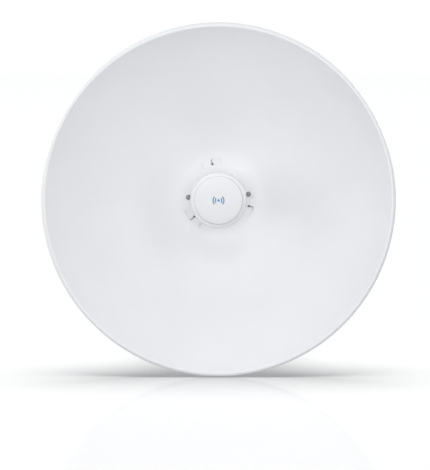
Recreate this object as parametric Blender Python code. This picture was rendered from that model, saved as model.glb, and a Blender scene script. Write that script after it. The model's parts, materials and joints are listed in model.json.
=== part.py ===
"""Outdoor wireless bridge: a dish reflector with a plug-in feed and radio, on a tilting pole mount.

Metres, +Z up. The dish faces -Y and its axis is z = 0. The origin is where the dish axis meets the
axis of the upright pole that the clamp holds. Every mesh is laid out in world places, and then moved
so that its origin lies where the piece turns or slides.
"""

import math

import bmesh
import bpy
from mathutils import Matrix, Vector

# Driving dimensions

GAP = 0.0003  # between pieces that touch

# Pole clamp
POLE_RADIUS = 0.025  # of the pole held at rest; the clamp takes 0.019 to 0.030
V_HALF_ANGLE = math.radians(60)
V_HALF_MOUTH = 0.024
CLAMP_Z = 0.026
JAW_HALF_WIDTH = 0.056
JAW_HALF_HEIGHT = 0.0225
JAW_FLANGE_HALF = 0.034
JAW_SHEET = 0.0025
JAW_BACK = 0.040  # from the pole's axis to the back of a jaw's web
CLAMP_BOLT_X = 0.044
CLAMP_BOLT_END = 0.062

# Pole bracket and tilt bracket
BRACKET_SHEET = 0.003
POLE_CHEEK_OUT = 0.021
TILT_CHEEK_OUT = 0.0245
PIVOT_Y = -0.064
PIVOT_Z = 0.016
LOCK_ARM = 0.028  # from the pivot up to the locking bolts
TILT_LIMIT = math.radians(20)
PIVOT_TO_PLATE = 0.030
BRACKET_TOP = 0.052
TILT_TOP = 0.058
TILT_BOTTOM = 0.002
M6 = 0.0030
M6_HOLE = 0.0033
M8 = 0.0040
M8_HOLE = 0.0043

# Rear housing
HOUSING_RADIUS = 0.0655
HOUSING_DEPTH = 0.050
HOUSING_WALL = 0.003
BACK_WALL = 0.0035
BAY_HALF_WIDTH = 0.019
BAY_TOP = -0.003
BAY_BOTTOM = -0.056
BRACKET_BOLT_X = 0.010
BRACKET_BOLT_Z = (0.014, 0.046)

# Reflector
DISH_RADIUS = 0.260
FOCAL_LENGTH = 0.130
SHEET = 0.0010
PLATE_RADIUS = 0.066
RIM_ROLL = 0.0042
RIM_SKIRT = 0.007
FEED_BORE = 0.0311
SLOT_ANGLES = [math.radians(angle) for angle in (101, 221, 341)]
SLOT_WIDE = (0.0475, 0.0570)
SLOT_NARROW = (0.0495, 0.0550)
SLOT_HALF_ANGLE = math.radians(17)
SCREW_CIRCLE = 0.0455
SCREW_TILT = math.radians(3)
M4 = 0.0018
M4_HOLE = 0.0023
SCREW_HEAD_HEIGHT = 0.0024

# Feed
TUBE_RADIUS = 0.0305
TUBE_NECK = 0.0285
TUBE_WALL = 0.0022
FLANGE_RADIUS = 0.0390
HUB_RADIUS = 0.0415
HUB_FACE_RADIUS = 0.0355
HUB_STEP = 0.0032  # from the raised face back to the ring round it
HUB_WALL = 0.002
HUB_FRONT = -0.262
HUB_DEPTH = 0.018
FEED_REACH = 0.0315  # how far the feed goes into the housing
BOARD_Z = -0.004
BOARD = 0.0016
JACK = (0.016, 0.016, 0.0135)
JACK_MOUTH = (0.0117, 0.0083)
RESET_X = 0.0135

# Latch and port cover
LATCH_YOKE = (0.0335, 0.0385)  # half-widths of its window and of its outside
LATCH_SHEET = 0.003
BUTTON_WIDTH = 0.016
BUTTON_PROUD = 0.003
SPRING_RADIUS = 0.0028
SPRING_WIRE = 0.0004
COVER_HALF_WIDTH = 0.026
COVER_DEPTH = 0.026
COVER_WALL = 0.002
COVER_BOTTOM = -0.067
GLAND_RADIUS = 0.0090

# Places that follow from them
V_APEX = POLE_RADIUS / math.sin(V_HALF_ANGLE)
WEB_BACK = -JAW_BACK - GAP
WEB_FRONT = WEB_BACK - BRACKET_SHEET
TILT_BACK = PIVOT_Y - PIVOT_TO_PLATE
TILT_FRONT = TILT_BACK - BRACKET_SHEET
HOUSING_BACK = TILT_FRONT - GAP
HOUSING_FRONT = HOUSING_BACK - HOUSING_DEPTH
PLATE_BACK = HOUSING_FRONT - GAP
PLATE_FRONT = PLATE_BACK - SHEET
FEED_BACK = HOUSING_FRONT + FEED_REACH
LATCH_Y = HOUSING_FRONT + HOUSING_WALL + 0.0040
COVER_FRONT = HOUSING_BACK + GAP
COVER_BACK = COVER_FRONT + COVER_DEPTH
GLAND_Y = COVER_BACK - 0.012

DISH_STEPS = 64
ROUND_STEPS = 40
SMALL_STEPS = 24
BOLT_STEPS = 12
AXES = {"X": (1, 2, 0), "Y": (0, 2, 1), "Z": (0, 1, 2)}


# Shapes


def turned(profile, steps=ROUND_STEPS, hexagonal=()):
    """A closed (radius, y) outline turned about Y. Points listed as hexagonal are rings with six flats."""
    bm = bmesh.new()
    rings = []
    for index, (radius, y) in enumerate(profile):
        if radius == 0:
            rings.append([bm.verts.new((0, y, 0))])
            continue
        ring = []
        for step in range(steps):
            angle = math.tau * step / steps
            reach = radius
            if index in hexagonal:
                reach /= math.cos((angle + math.pi / 6) % (math.pi / 3) - math.pi / 6)
            ring.append(bm.verts.new((reach * math.cos(angle), y, reach * math.sin(angle))))
        rings.append(ring)
    for ring, after in zip(rings, rings[1:] + rings[:1]):
        for step in range(steps):
            turn = (step + 1) % steps
            corners = [ring[step % len(ring)], ring[turn % len(ring)]]
            corners += [after[turn % len(after)], after[step % len(after)]]
            corners = list(dict.fromkeys(corners))
            if len(corners) > 2:
                bm.faces.new(corners)
    bmesh.ops.recalc_face_normals(bm, faces=bm.faces)
    return bm


def prism(outline, low, high, axis):
    """An outline in the two other axes, in XYZ order, run from low to high along the axis."""
    bm = bmesh.new()
    first, second, along = AXES[axis]
    ends = []
    for level in (low, high):
        end = []
        for u, v in outline:
            place = [0.0, 0.0, 0.0]
            place[first] = u
            place[second] = v
            place[along] = level
            end.append(bm.verts.new(place))
        ends.append(end)
        bm.faces.new(end)
    for index in range(len(outline)):
        bm.faces.new((ends[0][index - 1], ends[0][index], ends[1][index], ends[1][index - 1]))
    bmesh.ops.recalc_face_normals(bm, faces=bm.faces)
    return bm


def box(x, y, z):
    """A block given by its (low, high) along each axis."""
    corners = [(x[0], y[0]), (x[1], y[0]), (x[1], y[1]), (x[0], y[1])]
    return prism(corners, z[0], z[1], "Z")


def joined(parts):
    """One bmesh of several."""
    whole = bmesh.new()
    for part in parts:
        mesh = bpy.data.meshes.new("shape")
        part.to_mesh(mesh)
        part.free()
        whole.from_mesh(mesh)
        bpy.data.meshes.remove(mesh)
    return whole


def aimed(bm, origin, direction):
    """The shape with its Y axis along the direction, moved to the origin."""
    turn = Vector((0, 1, 0)).rotation_difference(Vector(direction)).to_matrix().to_4x4()
    bmesh.ops.transform(bm, matrix=Matrix.Translation(origin) @ turn, verts=bm.verts)
    return bm


def rectangle(low_u, high_u, low_v, high_v):
    return [(low_u, low_v), (high_u, low_v), (high_u, high_v), (low_u, high_v)]


def rounded(points, radius, steps=4):
    """The outline with each corner made an arc of the radius."""
    outline = []
    for index, point in enumerate(points):
        corner = Vector(point)
        back = (Vector(points[index - 1]) - corner).normalized()
        ahead = (Vector(points[(index + 1) % len(points)]) - corner).normalized()
        half = back.angle(ahead) / 2
        centre = corner + (back + ahead).normalized() * radius / math.sin(half)
        start = corner + back * radius / math.tan(half) - centre
        end = corner + ahead * radius / math.tan(half) - centre
        for step in range(steps + 1):
            outline.append(tuple(centre + start.slerp(end, step / steps).normalized() * radius))
    return outline


def arc(radius, start, end, steps, centre=(0, 0)):
    """Points along an arc, ends included."""
    points = []
    for step in range(steps + 1):
        angle = start + (end - start) * step / steps
        points.append((centre[0] + radius * math.cos(angle), centre[1] + radius * math.sin(angle)))
    return points


def sector(inner, outer, start, end, steps=4):
    """A ring's sector between two angles."""
    return arc(outer, start, end, steps) + arc(inner, end, start, steps)


def circle(radius, centre, steps=BOLT_STEPS):
    return arc(radius, 0, math.tau * (1 - 1 / steps), steps - 1, centre)


# Objects


def material(name, colour, roughness, metallic=0.0):
    """A Principled material, made once."""
    if name in bpy.data.materials:
        return bpy.data.materials[name]
    made = bpy.data.materials.new(name)
    made.use_nodes = True
    shader = made.node_tree.nodes["Principled BSDF"]
    shader.inputs["Base Color"].default_value = (*colour, 1)
    shader.inputs["Roughness"].default_value = roughness
    shader.inputs["Metallic"].default_value = metallic
    return made


def white_paint():
    return material("white_paint", (0.83, 0.84, 0.86), 0.4)


def white_plastic():
    return material("white_plastic", (0.80, 0.81, 0.83), 0.45)


def grey_plastic():
    return material("grey_plastic", (0.45, 0.47, 0.49), 0.5)


def galvanised():
    return material("galvanised_steel", (0.55, 0.56, 0.57), 0.45, 1.0)


def zinc():
    return material("zinc_plate", (0.62, 0.63, 0.64), 0.3, 1.0)


def dark_steel():
    return material("dark_steel", (0.16, 0.16, 0.17), 0.4, 1.0)


def bare_aluminium():
    return material("aluminium", (0.78, 0.79, 0.80), 0.35, 1.0)


def tin_plate():
    return material("tin_plate", (0.72, 0.72, 0.70), 0.3, 1.0)


def circuit_board():
    return material("circuit_board", (0.02, 0.16, 0.08), 0.5)


def black_rubber():
    return material("black_rubber", (0.03, 0.03, 0.03), 0.8)


def clear_plastic():
    return material("clear_plastic", (0.85, 0.90, 0.92), 0.1)


def pad_grey():
    return material("pad_grey", (0.35, 0.42, 0.50), 0.9)


def piece(name, bm, finish, origin, parent=None):
    """A named object of the shape, with its origin at the given place."""
    bmesh.ops.translate(bm, vec=-Vector(origin), verts=bm.verts)
    mesh = bpy.data.meshes.new(name)
    bm.to_mesh(mesh)
    bm.free()
    mesh.shade_smooth()
    mesh.set_sharp_from_angle(angle=math.radians(35))
    if finish:
        mesh.materials.append(finish)
    obj = bpy.data.objects.new(name, mesh)
    obj.location = origin
    bpy.context.scene.collection.objects.link(obj)
    if parent:
        obj.parent = parent
        obj.matrix_parent_inverse = Matrix.Translation(parent.location).inverted()
    return obj


def combine(obj, bm, operation, what):
    """Cuts the shape out of the object, or adds it, with a hidden helper."""
    helper = piece(f"{obj.name}_{what}", bm, None, obj.location, obj.parent)
    helper.hide_render = True
    helper.display_type = "WIRE"
    modifier = obj.modifiers.new(what, "BOOLEAN")
    modifier.operation = operation
    modifier.solver = "EXACT"
    modifier.object = helper


def cut(obj, bm, what):
    combine(obj, bm, "DIFFERENCE", what)


def add(obj, bm, what):
    combine(obj, bm, "UNION", what)


def softened(obj, width, segments=2):
    """Rounds the object's sharp edges."""
    bevel = obj.modifiers.new("soft_edges", "BEVEL")
    bevel.width = width
    bevel.segments = segments
    bevel.limit_method = "ANGLE"
    bevel.angle_limit = math.radians(40)


def pivot_empty(name, place):
    empty = bpy.data.objects.new(name, None)
    empty.location = place
    bpy.context.scene.collection.objects.link(empty)
    return empty


# Reflector


def dish_depth(radius):
    """The y of the reflecting surface at a radius outside the flat centre."""
    return PLATE_FRONT - (radius**2 - PLATE_RADIUS**2) / (4 * FOCAL_LENGTH)


def back_depth(radius):
    slope = radius / (2 * FOCAL_LENGTH)
    return dish_depth(radius) + SHEET * math.hypot(1, slope)


def reflector_profile(bowl_steps=8, roll_steps=4):
    """The pressed sheet's section: flat centre, paraboloid, rolled rim and its skirt."""
    rim_in = DISH_RADIUS - 2 * RIM_ROLL
    roll_centre = (DISH_RADIUS - RIM_ROLL, dish_depth(rim_in))
    radii = [PLATE_RADIUS + (rim_in - PLATE_RADIUS) * k / bowl_steps for k in range(bowl_steps)]
    front = [(FEED_BORE, PLATE_FRONT)] + [(r, dish_depth(r)) for r in radii]
    front += arc(RIM_ROLL, -math.pi, 0, roll_steps, roll_centre)
    skirt = roll_centre[1] + RIM_SKIRT
    back = arc(RIM_ROLL - SHEET, 0, -math.pi, roll_steps, roll_centre)
    back += [(r, back_depth(r)) for r in reversed(radii[1:] + [rim_in])]
    back += [(PLATE_RADIUS, PLATE_BACK), (FEED_BORE, PLATE_BACK)]
    return front + [(DISH_RADIUS, skirt), (DISH_RADIUS - SHEET, skirt)] + back


def keyhole(middle):
    """A bayonet slot: wide before its middle, where the hook goes in, and narrow after it."""
    start = middle - SLOT_HALF_ANGLE
    end = middle + SLOT_HALF_ANGLE
    outside = arc(SLOT_WIDE[1], start, middle, 5) + arc(SLOT_NARROW[1], middle, end, 5)
    inside = arc(SLOT_NARROW[0], end, middle, 5) + arc(SLOT_WIDE[0], middle, start, 5)
    return outside + inside


def screw_places():
    """The (x, z) of the two lock screws."""
    places = arc(SCREW_CIRCLE, SCREW_TILT, SCREW_TILT + math.pi, 1)
    return {"right": places[0], "left": places[1]}


def make_reflector(head):
    origin = (0, PLATE_BACK, 0)
    reflector = piece("reflector", turned(reflector_profile(), DISH_STEPS), white_paint(), origin, head)
    through = (PLATE_FRONT - 0.002, PLATE_BACK + 0.002)
    openings = [prism(keyhole(middle), *through, "Y") for middle in SLOT_ANGLES]
    openings += [prism(circle(M4_HOLE, place), *through, "Y") for place in screw_places().values()]
    cut(reflector, joined(openings), "slots")


# Rear housing


def housing_profile():
    """A drum with a bore in its front wall for the feed."""
    inner = HOUSING_RADIUS - HOUSING_WALL
    chamfer = 0.003
    outside = [
        (FEED_BORE, HOUSING_FRONT),
        (HOUSING_RADIUS, HOUSING_FRONT),
        (HOUSING_RADIUS, HOUSING_BACK - chamfer),
        (HOUSING_RADIUS - chamfer, HOUSING_BACK),
        (0, HOUSING_BACK),
    ]
    inside = [
        (0, HOUSING_BACK - BACK_WALL),
        (inner - chamfer, HOUSING_BACK - BACK_WALL),
        (inner, HOUSING_BACK - BACK_WALL - chamfer),
        (inner, HOUSING_FRONT + HOUSING_WALL),
        (FEED_BORE, HOUSING_FRONT + HOUSING_WALL),
    ]
    return outside + inside


def hook(middle):
    """A bayonet hook: its stem goes through the narrow slot, and its lip lies on the reflector."""
    start = middle + math.radians(2.8)
    lip_back = PLATE_FRONT - GAP
    lip_front = lip_back - 0.0018
    root = HOUSING_FRONT + 0.001
    stem = sector(SLOT_NARROW[0] + GAP, SLOT_NARROW[1] - GAP, start, middle + math.radians(14))
    lip = sector(SLOT_WIDE[0] + GAP, SLOT_WIDE[1] - GAP, start, middle + math.radians(16))
    return [prism(stem, lip_back - 0.0009, root, "Y"), prism(lip, lip_front, lip_back, "Y")]


def core_hole(middle):
    """The hole that the mould's core leaves beside a hook's lip: a radial slit with a round inner end."""
    ahead = Vector((math.cos(middle), math.sin(middle)))
    across = Vector((-ahead.y, ahead.x))
    eye = ahead * 0.0490 + across * 0.0012
    tip = ahead * 0.0562 + across * 0.0012
    outline = [tip - across * 0.0008, tip + across * 0.0008]
    turn = math.atan2(ahead.y, ahead.x)
    outline += arc(0.0016, turn + math.radians(30), turn + math.radians(330), 10, eye)
    return prism(outline, HOUSING_FRONT - 0.002, HOUSING_FRONT + HOUSING_WALL + 0.002, "Y")


def bracket_bolt_places():
    return [(side * BRACKET_BOLT_X, z) for z in BRACKET_BOLT_Z for side in (-1, 1)]


def make_rear_housing(head):
    origin = (0, HOUSING_FRONT, 0)
    housing = piece("rear_housing", turned(housing_profile(), 48), white_plastic(), origin, head)
    boss_reach = 0.010
    wall_in = HOUSING_BACK - BACK_WALL
    bosses = [
        prism(circle(0.006, place, SMALL_STEPS), wall_in - boss_reach, HOUSING_BACK - 0.001, "Y")
        for place in bracket_bolt_places()
    ]
    front_in = HOUSING_FRONT + HOUSING_WALL
    for place in screw_places().values():
        post = circle(0.0042, place, SMALL_STEPS)
        bosses.append(prism(post, HOUSING_FRONT + 0.001, front_in + 0.008, "Y"))
    add(housing, joined(bosses), "bosses")
    for index, middle in enumerate(SLOT_ANGLES, start=1):
        stem, lip = hook(middle)
        add(housing, stem, f"stem_{index}")
        add(housing, lip, f"lip_{index}")
    holes = [
        prism(circle(M6_HOLE, place), wall_in - boss_reach + 0.002, HOUSING_BACK + 0.002, "Y")
        for place in bracket_bolt_places()
    ]
    bay = rounded(rectangle(-BAY_HALF_WIDTH, BAY_HALF_WIDTH, BAY_BOTTOM, BAY_TOP), 0.004)
    holes.append(prism(bay, wall_in - 0.0035, HOUSING_BACK + 0.002, "Y"))
    cut(housing, joined(holes), "back_holes")
    slot = BUTTON_WIDTH / 2 + 0.0004
    half = LATCH_SHEET / 2 + 0.0024
    cut(housing, box((-slot, slot), (LATCH_Y - half, LATCH_Y + half), (0.055, 0.075)), "button_slot")
    front_holes = [
        prism(circle(M4_HOLE, place), HOUSING_FRONT - 0.002, front_in + 0.0065, "Y")
        for place in screw_places().values()
    ]
    front_holes += [core_hole(middle) for middle in SLOT_ANGLES]
    cut(housing, joined(front_holes), "front_holes")


def screw_mesh(length):
    """A pan-head M4 screw: its head towards -Y and the underside of the head at y = 0."""
    top = -SCREW_HEAD_HEIGHT
    head = [(0, top), (0.0022, top), (0.0033, top + 0.0005), (0.00375, top + 0.0016), (0.00375, 0)]
    return turned(head + [(M4, 0), (M4, length - 0.001), (0.0010, length), (0, length)], SMALL_STEPS)


def cross_recess(depth, reach, width):
    """The cutter of a cross recess in a head whose top faces -Y, at the origin."""
    arms = [box((-reach, reach), (-0.001, depth), (-width, width))]
    arms.append(box((-width, width), (-0.001, depth), (-reach, reach)))
    return arms


def make_lock_screws(head):
    for side, (x, z) in screw_places().items():
        origin = (x, PLATE_FRONT - GAP, z)
        shape = aimed(screw_mesh(0.0085), origin, (0, 1, 0))
        screw = piece(f"lock_screw_{side}", shape, dark_steel(), origin, head)
        top = (x, PLATE_FRONT - GAP - SCREW_HEAD_HEIGHT, z)
        for index, arm in enumerate(cross_recess(0.0012, 0.0019, 0.0005)):
            cut(screw, aimed(arm, top, (0, 1, 0)), f"recess_{index}")


# Latch


def make_latch(parent):
    """The release button with its latch yoke round the feed, and the tooth under the feed."""
    inside, outside = LATCH_YOKE
    low = LATCH_Y - LATCH_SHEET / 2
    high = LATCH_Y + LATCH_SHEET / 2
    yoke = rounded(rectangle(-outside, outside, -outside, outside), 0.005)
    origin = (0, LATCH_Y, HOUSING_RADIUS)
    button = piece("release_button", prism(yoke, low, high, "Y"), grey_plastic(), origin, parent)
    window = rounded(rectangle(-inside, inside, -inside, inside), 0.002)
    cut(button, prism(window, low - 0.002, high + 0.002, "Y"), "window")
    half = BUTTON_WIDTH / 2
    top = HOUSING_RADIUS + BUTTON_PROUD
    add(button, box((-half, half), (low - 0.002, high + 0.002), (outside - 0.002, top)), "stem")
    reach = (-inside - 0.0015, -TUBE_RADIUS - 0.0005)
    add(button, box((-0.004, 0.004), (low + 0.0005, high - 0.0005), reach), "tooth")
    softened(button, 0.0005, 1)


def make_latch_spring(parent):
    """A compression spring between the latch yoke and the housing's wall."""
    top = -LATCH_YOKE[1] - SPRING_WIRE - 0.0008
    bottom = -(HOUSING_RADIUS - HOUSING_WALL) + SPRING_WIRE + 0.0006
    turns = 5
    steps = 10 * turns
    curve = bpy.data.curves.new("latch_spring", "CURVE")
    curve.dimensions = "3D"
    curve.bevel_depth = SPRING_WIRE
    curve.bevel_resolution = 1
    curve.use_fill_caps = True
    spline = curve.splines.new("POLY")
    spline.points.add(steps)
    for step, point in enumerate(spline.points):
        angle = math.tau * turns * step / steps
        rise = (top - bottom) * step / steps
        point.co = (SPRING_RADIUS * math.cos(angle), SPRING_RADIUS * math.sin(angle), rise, 1)
    curve.materials.append(zinc())
    spring = bpy.data.objects.new("latch_spring", curve)
    spring.location = (0, LATCH_Y, bottom)
    bpy.context.scene.collection.objects.link(spring)
    spring.parent = parent
    spring.matrix_parent_inverse = Matrix.Translation(parent.location).inverted()


# Port cover


def cover_outline(inset):
    low = COVER_BOTTOM + inset
    half = COVER_HALF_WIDTH - inset
    return rounded(rectangle(-half, half, low, -inset), 0.008 - inset, 4)


def make_port_cover(parent):
    """The cover of the cable bay, open towards the housing, and the rubber cable gland in its floor."""
    origin = (0, COVER_FRONT, COVER_BOTTOM)
    shell = prism(cover_outline(0), COVER_FRONT, COVER_BACK, "Y")
    cover = piece("port_cover", shell, white_plastic(), origin, parent)
    softened(cover, 0.0015)
    inside = prism(cover_outline(COVER_WALL), COVER_FRONT - 0.002, COVER_BACK - COVER_WALL, "Y")
    cut(cover, inside, "inside")
    floor = (COVER_BOTTOM - 0.002, COVER_BOTTOM + COVER_WALL + 0.002)
    cut(cover, prism(circle(GLAND_RADIUS, (0, GLAND_Y), SMALL_STEPS), *floor, "Z"), "gland_hole")

    bore = 0.0030
    neck = GLAND_RADIUS - 0.0004
    profile = [
        (bore, -0.0035),
        (neck + 0.0010, -0.0035),
        (neck + 0.0010, -GAP),
        (neck, -GAP),
        (neck, COVER_WALL + GAP),
        (neck + 0.0010, COVER_WALL + GAP),
        (neck + 0.0004, COVER_WALL + 0.0028),
        (bore, COVER_WALL + 0.0028),
    ]
    place = (0, GLAND_Y, COVER_BOTTOM)
    piece("cable_gland", aimed(turned(profile, SMALL_STEPS), place, (0, 0, 1)), black_rubber(), place, parent)


# Feed


def make_feed_tube(feed):
    flange_y = HUB_FRONT + HUB_DEPTH - 0.004
    outside = [
        (TUBE_RADIUS, FEED_BACK),
        (TUBE_RADIUS, PLATE_FRONT - 0.010),
        (TUBE_NECK, PLATE_FRONT - 0.020),
        (TUBE_NECK, flange_y + 0.022),
        (TUBE_NECK + 0.003, flange_y + 0.012),
        (FLANGE_RADIUS - 0.001, flange_y + 0.0025),
        (FLANGE_RADIUS, flange_y),
    ]
    inner = TUBE_NECK - TUBE_WALL
    inside = [
        (inner + 0.006, flange_y),
        (inner, flange_y + 0.012),
        (inner, PLATE_FRONT - 0.020),
        (TUBE_RADIUS - TUBE_WALL, PLATE_FRONT - 0.010),
        (TUBE_RADIUS - TUBE_WALL, FEED_BACK),
    ]
    origin = (0, FEED_BACK, 0)
    tube = piece("feed_tube", turned(outside + inside), white_plastic(), origin, feed)
    notch = box((-0.005, 0.005), (LATCH_Y - 0.002, LATCH_Y + 0.002), (-0.034, -TUBE_RADIUS + 0.0012))
    cut(tube, notch, "latch_notch")


def make_front_cover(feed):
    """The round hub: a raised face inside a lower ring, and a skirt over the tube's flange."""
    ring = HUB_FRONT + HUB_STEP
    skirt = HUB_FRONT + HUB_DEPTH
    face_round = 0.0022
    ring_round = 0.0026
    profile = [(0, HUB_FRONT)]
    centre = (HUB_FACE_RADIUS - face_round, HUB_FRONT + face_round)
    profile += arc(face_round, -math.pi / 2, 0, 3, centre)
    profile += [(HUB_FACE_RADIUS, ring)]
    profile += arc(ring_round, -math.pi / 2, 0, 3, (HUB_RADIUS - ring_round, ring + ring_round))
    skirt_in = HUB_RADIUS - HUB_WALL
    face_in = HUB_FACE_RADIUS - HUB_WALL
    profile += [(HUB_RADIUS, skirt), (skirt_in, skirt), (skirt_in, ring + HUB_WALL + 0.001)]
    profile += [(face_in, ring + HUB_WALL), (face_in, HUB_FRONT + HUB_WALL), (0, HUB_FRONT + HUB_WALL)]
    piece("feed_front_cover", turned(profile), white_plastic(), (0, HUB_FRONT, 0), feed)


def make_feed_optics(feed):
    """The seal, the sub-reflector behind the hub's face and the board that radiates towards it."""
    seal_y = HUB_FRONT + HUB_DEPTH - 0.004 - 0.0012
    ring = circle(0.0009, (FLANGE_RADIUS - 0.0020, seal_y), 6)
    piece("cover_seal", turned(ring), black_rubber(), (0, seal_y, 0), feed)

    front = HUB_FRONT + 0.0028
    rim = 0.0320
    profile = [(0, front + 0.0040), (0.010, front + 0.0022), (rim, front), (rim, front + 0.0010)]
    profile += [(0.010, front + 0.0034), (0, front + 0.0052)]
    piece("sub_reflector", turned(profile), bare_aluminium(), (0, front, 0), feed)

    board_y = HUB_FRONT + 0.036
    disc = prism(circle(0.0255, (0, 0), ROUND_STEPS), board_y, board_y + 0.0012, "Y")
    board = piece("feed_board", disc, circuit_board(), (0, board_y, 0), feed)
    through = (board_y - 0.001, board_y + 0.003)
    slots = [box((-0.0008, 0.0008), through, (z - 0.006, z + 0.006)) for z in (-0.012, 0.012)]
    cut(board, joined(slots), "slots")


def make_radio(feed):
    """The radio board with its shield, thermal pad, heat spreader, network jack and reset switch."""
    rear = FEED_BACK - 0.0030
    top = BOARD_Z + BOARD / 2
    under = BOARD_Z - BOARD / 2
    outline = rounded(rectangle(-0.0215, 0.0215, rear - 0.080, rear - 0.002), 0.003, 2)
    piece("radio_board", prism(outline, under, top, "Z"), circuit_board(), (0, rear, BOARD_Z), feed)

    can = (rear - 0.066, rear - 0.018)
    can_top = top + GAP + 0.0032
    shield = box((-0.0170, 0.0170), can, (top + GAP, can_top))
    shield = piece("rf_shield", shield, tin_plate(), (0, can[1], can_top), feed)
    cut(shield, box((-0.0166, 0.0166), (can[0] + 0.0004, can[1] - 0.0004), (top, can_top - 0.0004)), "inside")

    pad_top = can_top + GAP + 0.0012
    pad = (can[0] + 0.004, can[1] - 0.004)
    pad_shape = box((-0.014, 0.014), pad, (can_top + GAP, pad_top))
    piece("thermal_pad", pad_shape, pad_grey(), (0, pad[1], pad_top), feed)

    sink_bottom = pad_top + GAP
    sink = box((-0.0165, 0.0165), (can[0] + 0.001, can[1] - 0.001), (sink_bottom, sink_bottom + 0.0065))
    sink = piece("heat_spreader", sink, bare_aluminium(), (0, can[1], sink_bottom), feed)
    along = (can[0] - 0.001, can[1] + 0.001)
    deep = (sink_bottom + 0.002, sink_bottom + 0.010)
    grooves = []
    for index in range(-2, 3):
        x = 0.0054 * index
        grooves.append(box((x - 0.0014, x + 0.0014), along, deep))
    cut(sink, joined(grooves), "grooves")

    width, depth, height = JACK
    jack_top = under - GAP
    jack_z = jack_top - height / 2
    shell = box((-width / 2, width / 2), (rear - depth, rear), (jack_top - height, jack_top))
    jack = piece("ethernet_jack", shell, tin_plate(), (0, rear, jack_z), feed)
    mouth = (JACK_MOUTH[0] / 2, JACK_MOUTH[1] / 2)
    socket = box((-mouth[0], mouth[0]), (rear - 0.0130, rear + 0.001), (jack_z - mouth[1], jack_z + mouth[1]))
    cut(jack, socket, "socket")

    across = (RESET_X - 0.003, RESET_X + 0.003)
    switch = box(across, (rear - 0.0060, rear - 0.0022), (jack_z - 0.003, jack_top))
    piece("reset_switch", switch, grey_plastic(), (RESET_X, rear, jack_z), feed)

    pipe = box((-0.009, 0.009), (rear - 0.0080, FEED_BACK - GAP), (top + GAP, top + 0.0030))
    piece("light_pipe", pipe, clear_plastic(), (0, rear, top), feed)
    return jack_z


def make_end_cap(feed, jack_z):
    """The disc that closes the tube's rear end, with windows for the jack, the light pipe and reset."""
    back = FEED_BACK - GAP - 0.0002
    front = FEED_BACK - 0.0025
    disc = prism(circle(TUBE_RADIUS - TUBE_WALL - GAP, (0, 0), ROUND_STEPS), front, back, "Y")
    cap = piece("feed_end_cap", disc, grey_plastic(), (0, back, 0), feed)
    half_x = JACK_MOUTH[0] / 2 + 0.0004
    half_z = JACK_MOUTH[1] / 2 + 0.0004
    through = (front - 0.002, back + 0.002)
    windows = [box((-half_x, half_x), through, (jack_z - half_z, jack_z + half_z))]
    pipe_low = BOARD_Z + BOARD / 2
    windows.append(box((-0.0094, 0.0094), through, (pipe_low, pipe_low + 0.0034)))
    windows.append(prism(circle(0.0017, (RESET_X, jack_z)), *through, "Y"))
    cut(cap, joined(windows), "windows")


def make_reset_button(reset, jack_z):
    """The reset plunger in the end cap's hole; it goes in until it meets the switch."""
    head_y = FEED_BACK - 0.0004
    profile = [(0, head_y), (0.0012, head_y), (0.0012, head_y - 0.0038), (0, head_y - 0.0038)]
    shape = turned(profile, BOLT_STEPS)
    bmesh.ops.translate(shape, vec=(RESET_X, 0, jack_z), verts=shape.verts)
    piece("reset_button", shape, black_rubber(), reset.location, reset)


# Brackets


def arc_slot(radius, centre, half_angle, half_width):
    """A slot along an arc above its centre, with round ends."""
    middle = math.pi / 2
    start = middle - half_angle
    end = middle + half_angle
    first_end = arc(radius, start, end, 1, centre)
    outline = arc(radius + half_width, start, end, 8, centre)
    outline += arc(half_width, end, end + math.pi, 5, first_end[1])[1:-1]
    outline += arc(radius - half_width, end, start, 8, centre)
    outline += arc(half_width, start + math.pi, start + math.tau, 5, first_end[0])[1:-1]
    return outline


def make_tilt_bracket(head):
    """A channel bolted to the housing; its cheeks carry the pivot and the locking bolts."""
    pivot = (PIVOT_Y, PIVOT_Z)
    lock = (PIVOT_Y, PIVOT_Z + LOCK_ARM)
    side = [(TILT_FRONT, TILT_BOTTOM), (PIVOT_Y - 0.008, TILT_BOTTOM)]
    side += arc(0.011, -math.pi / 2, 0, 5, pivot)
    side += arc(0.009, 0, math.pi / 2, 5, lock)
    side += [(PIVOT_Y - 0.012, TILT_TOP), (TILT_FRONT, TILT_TOP)]
    shape = prism(side, -TILT_CHEEK_OUT, TILT_CHEEK_OUT, "X")
    bracket = piece("tilt_bracket", shape, galvanised(), (0, PIVOT_Y, PIVOT_Z), head)
    inner = TILT_CHEEK_OUT - BRACKET_SHEET
    cut(bracket, box((-inner, inner), (TILT_BACK, 0), (-0.02, 0.08)), "channel")
    across = (-0.03, 0.03)
    holes = [prism(circle(M6_HOLE, place), *across, "X") for place in (pivot, lock)]
    for place in bracket_bolt_places():
        holes.append(prism(circle(M6_HOLE, place), TILT_FRONT - 0.002, TILT_BACK + 0.002, "Y"))
    cut(bracket, joined(holes), "holes")


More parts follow.
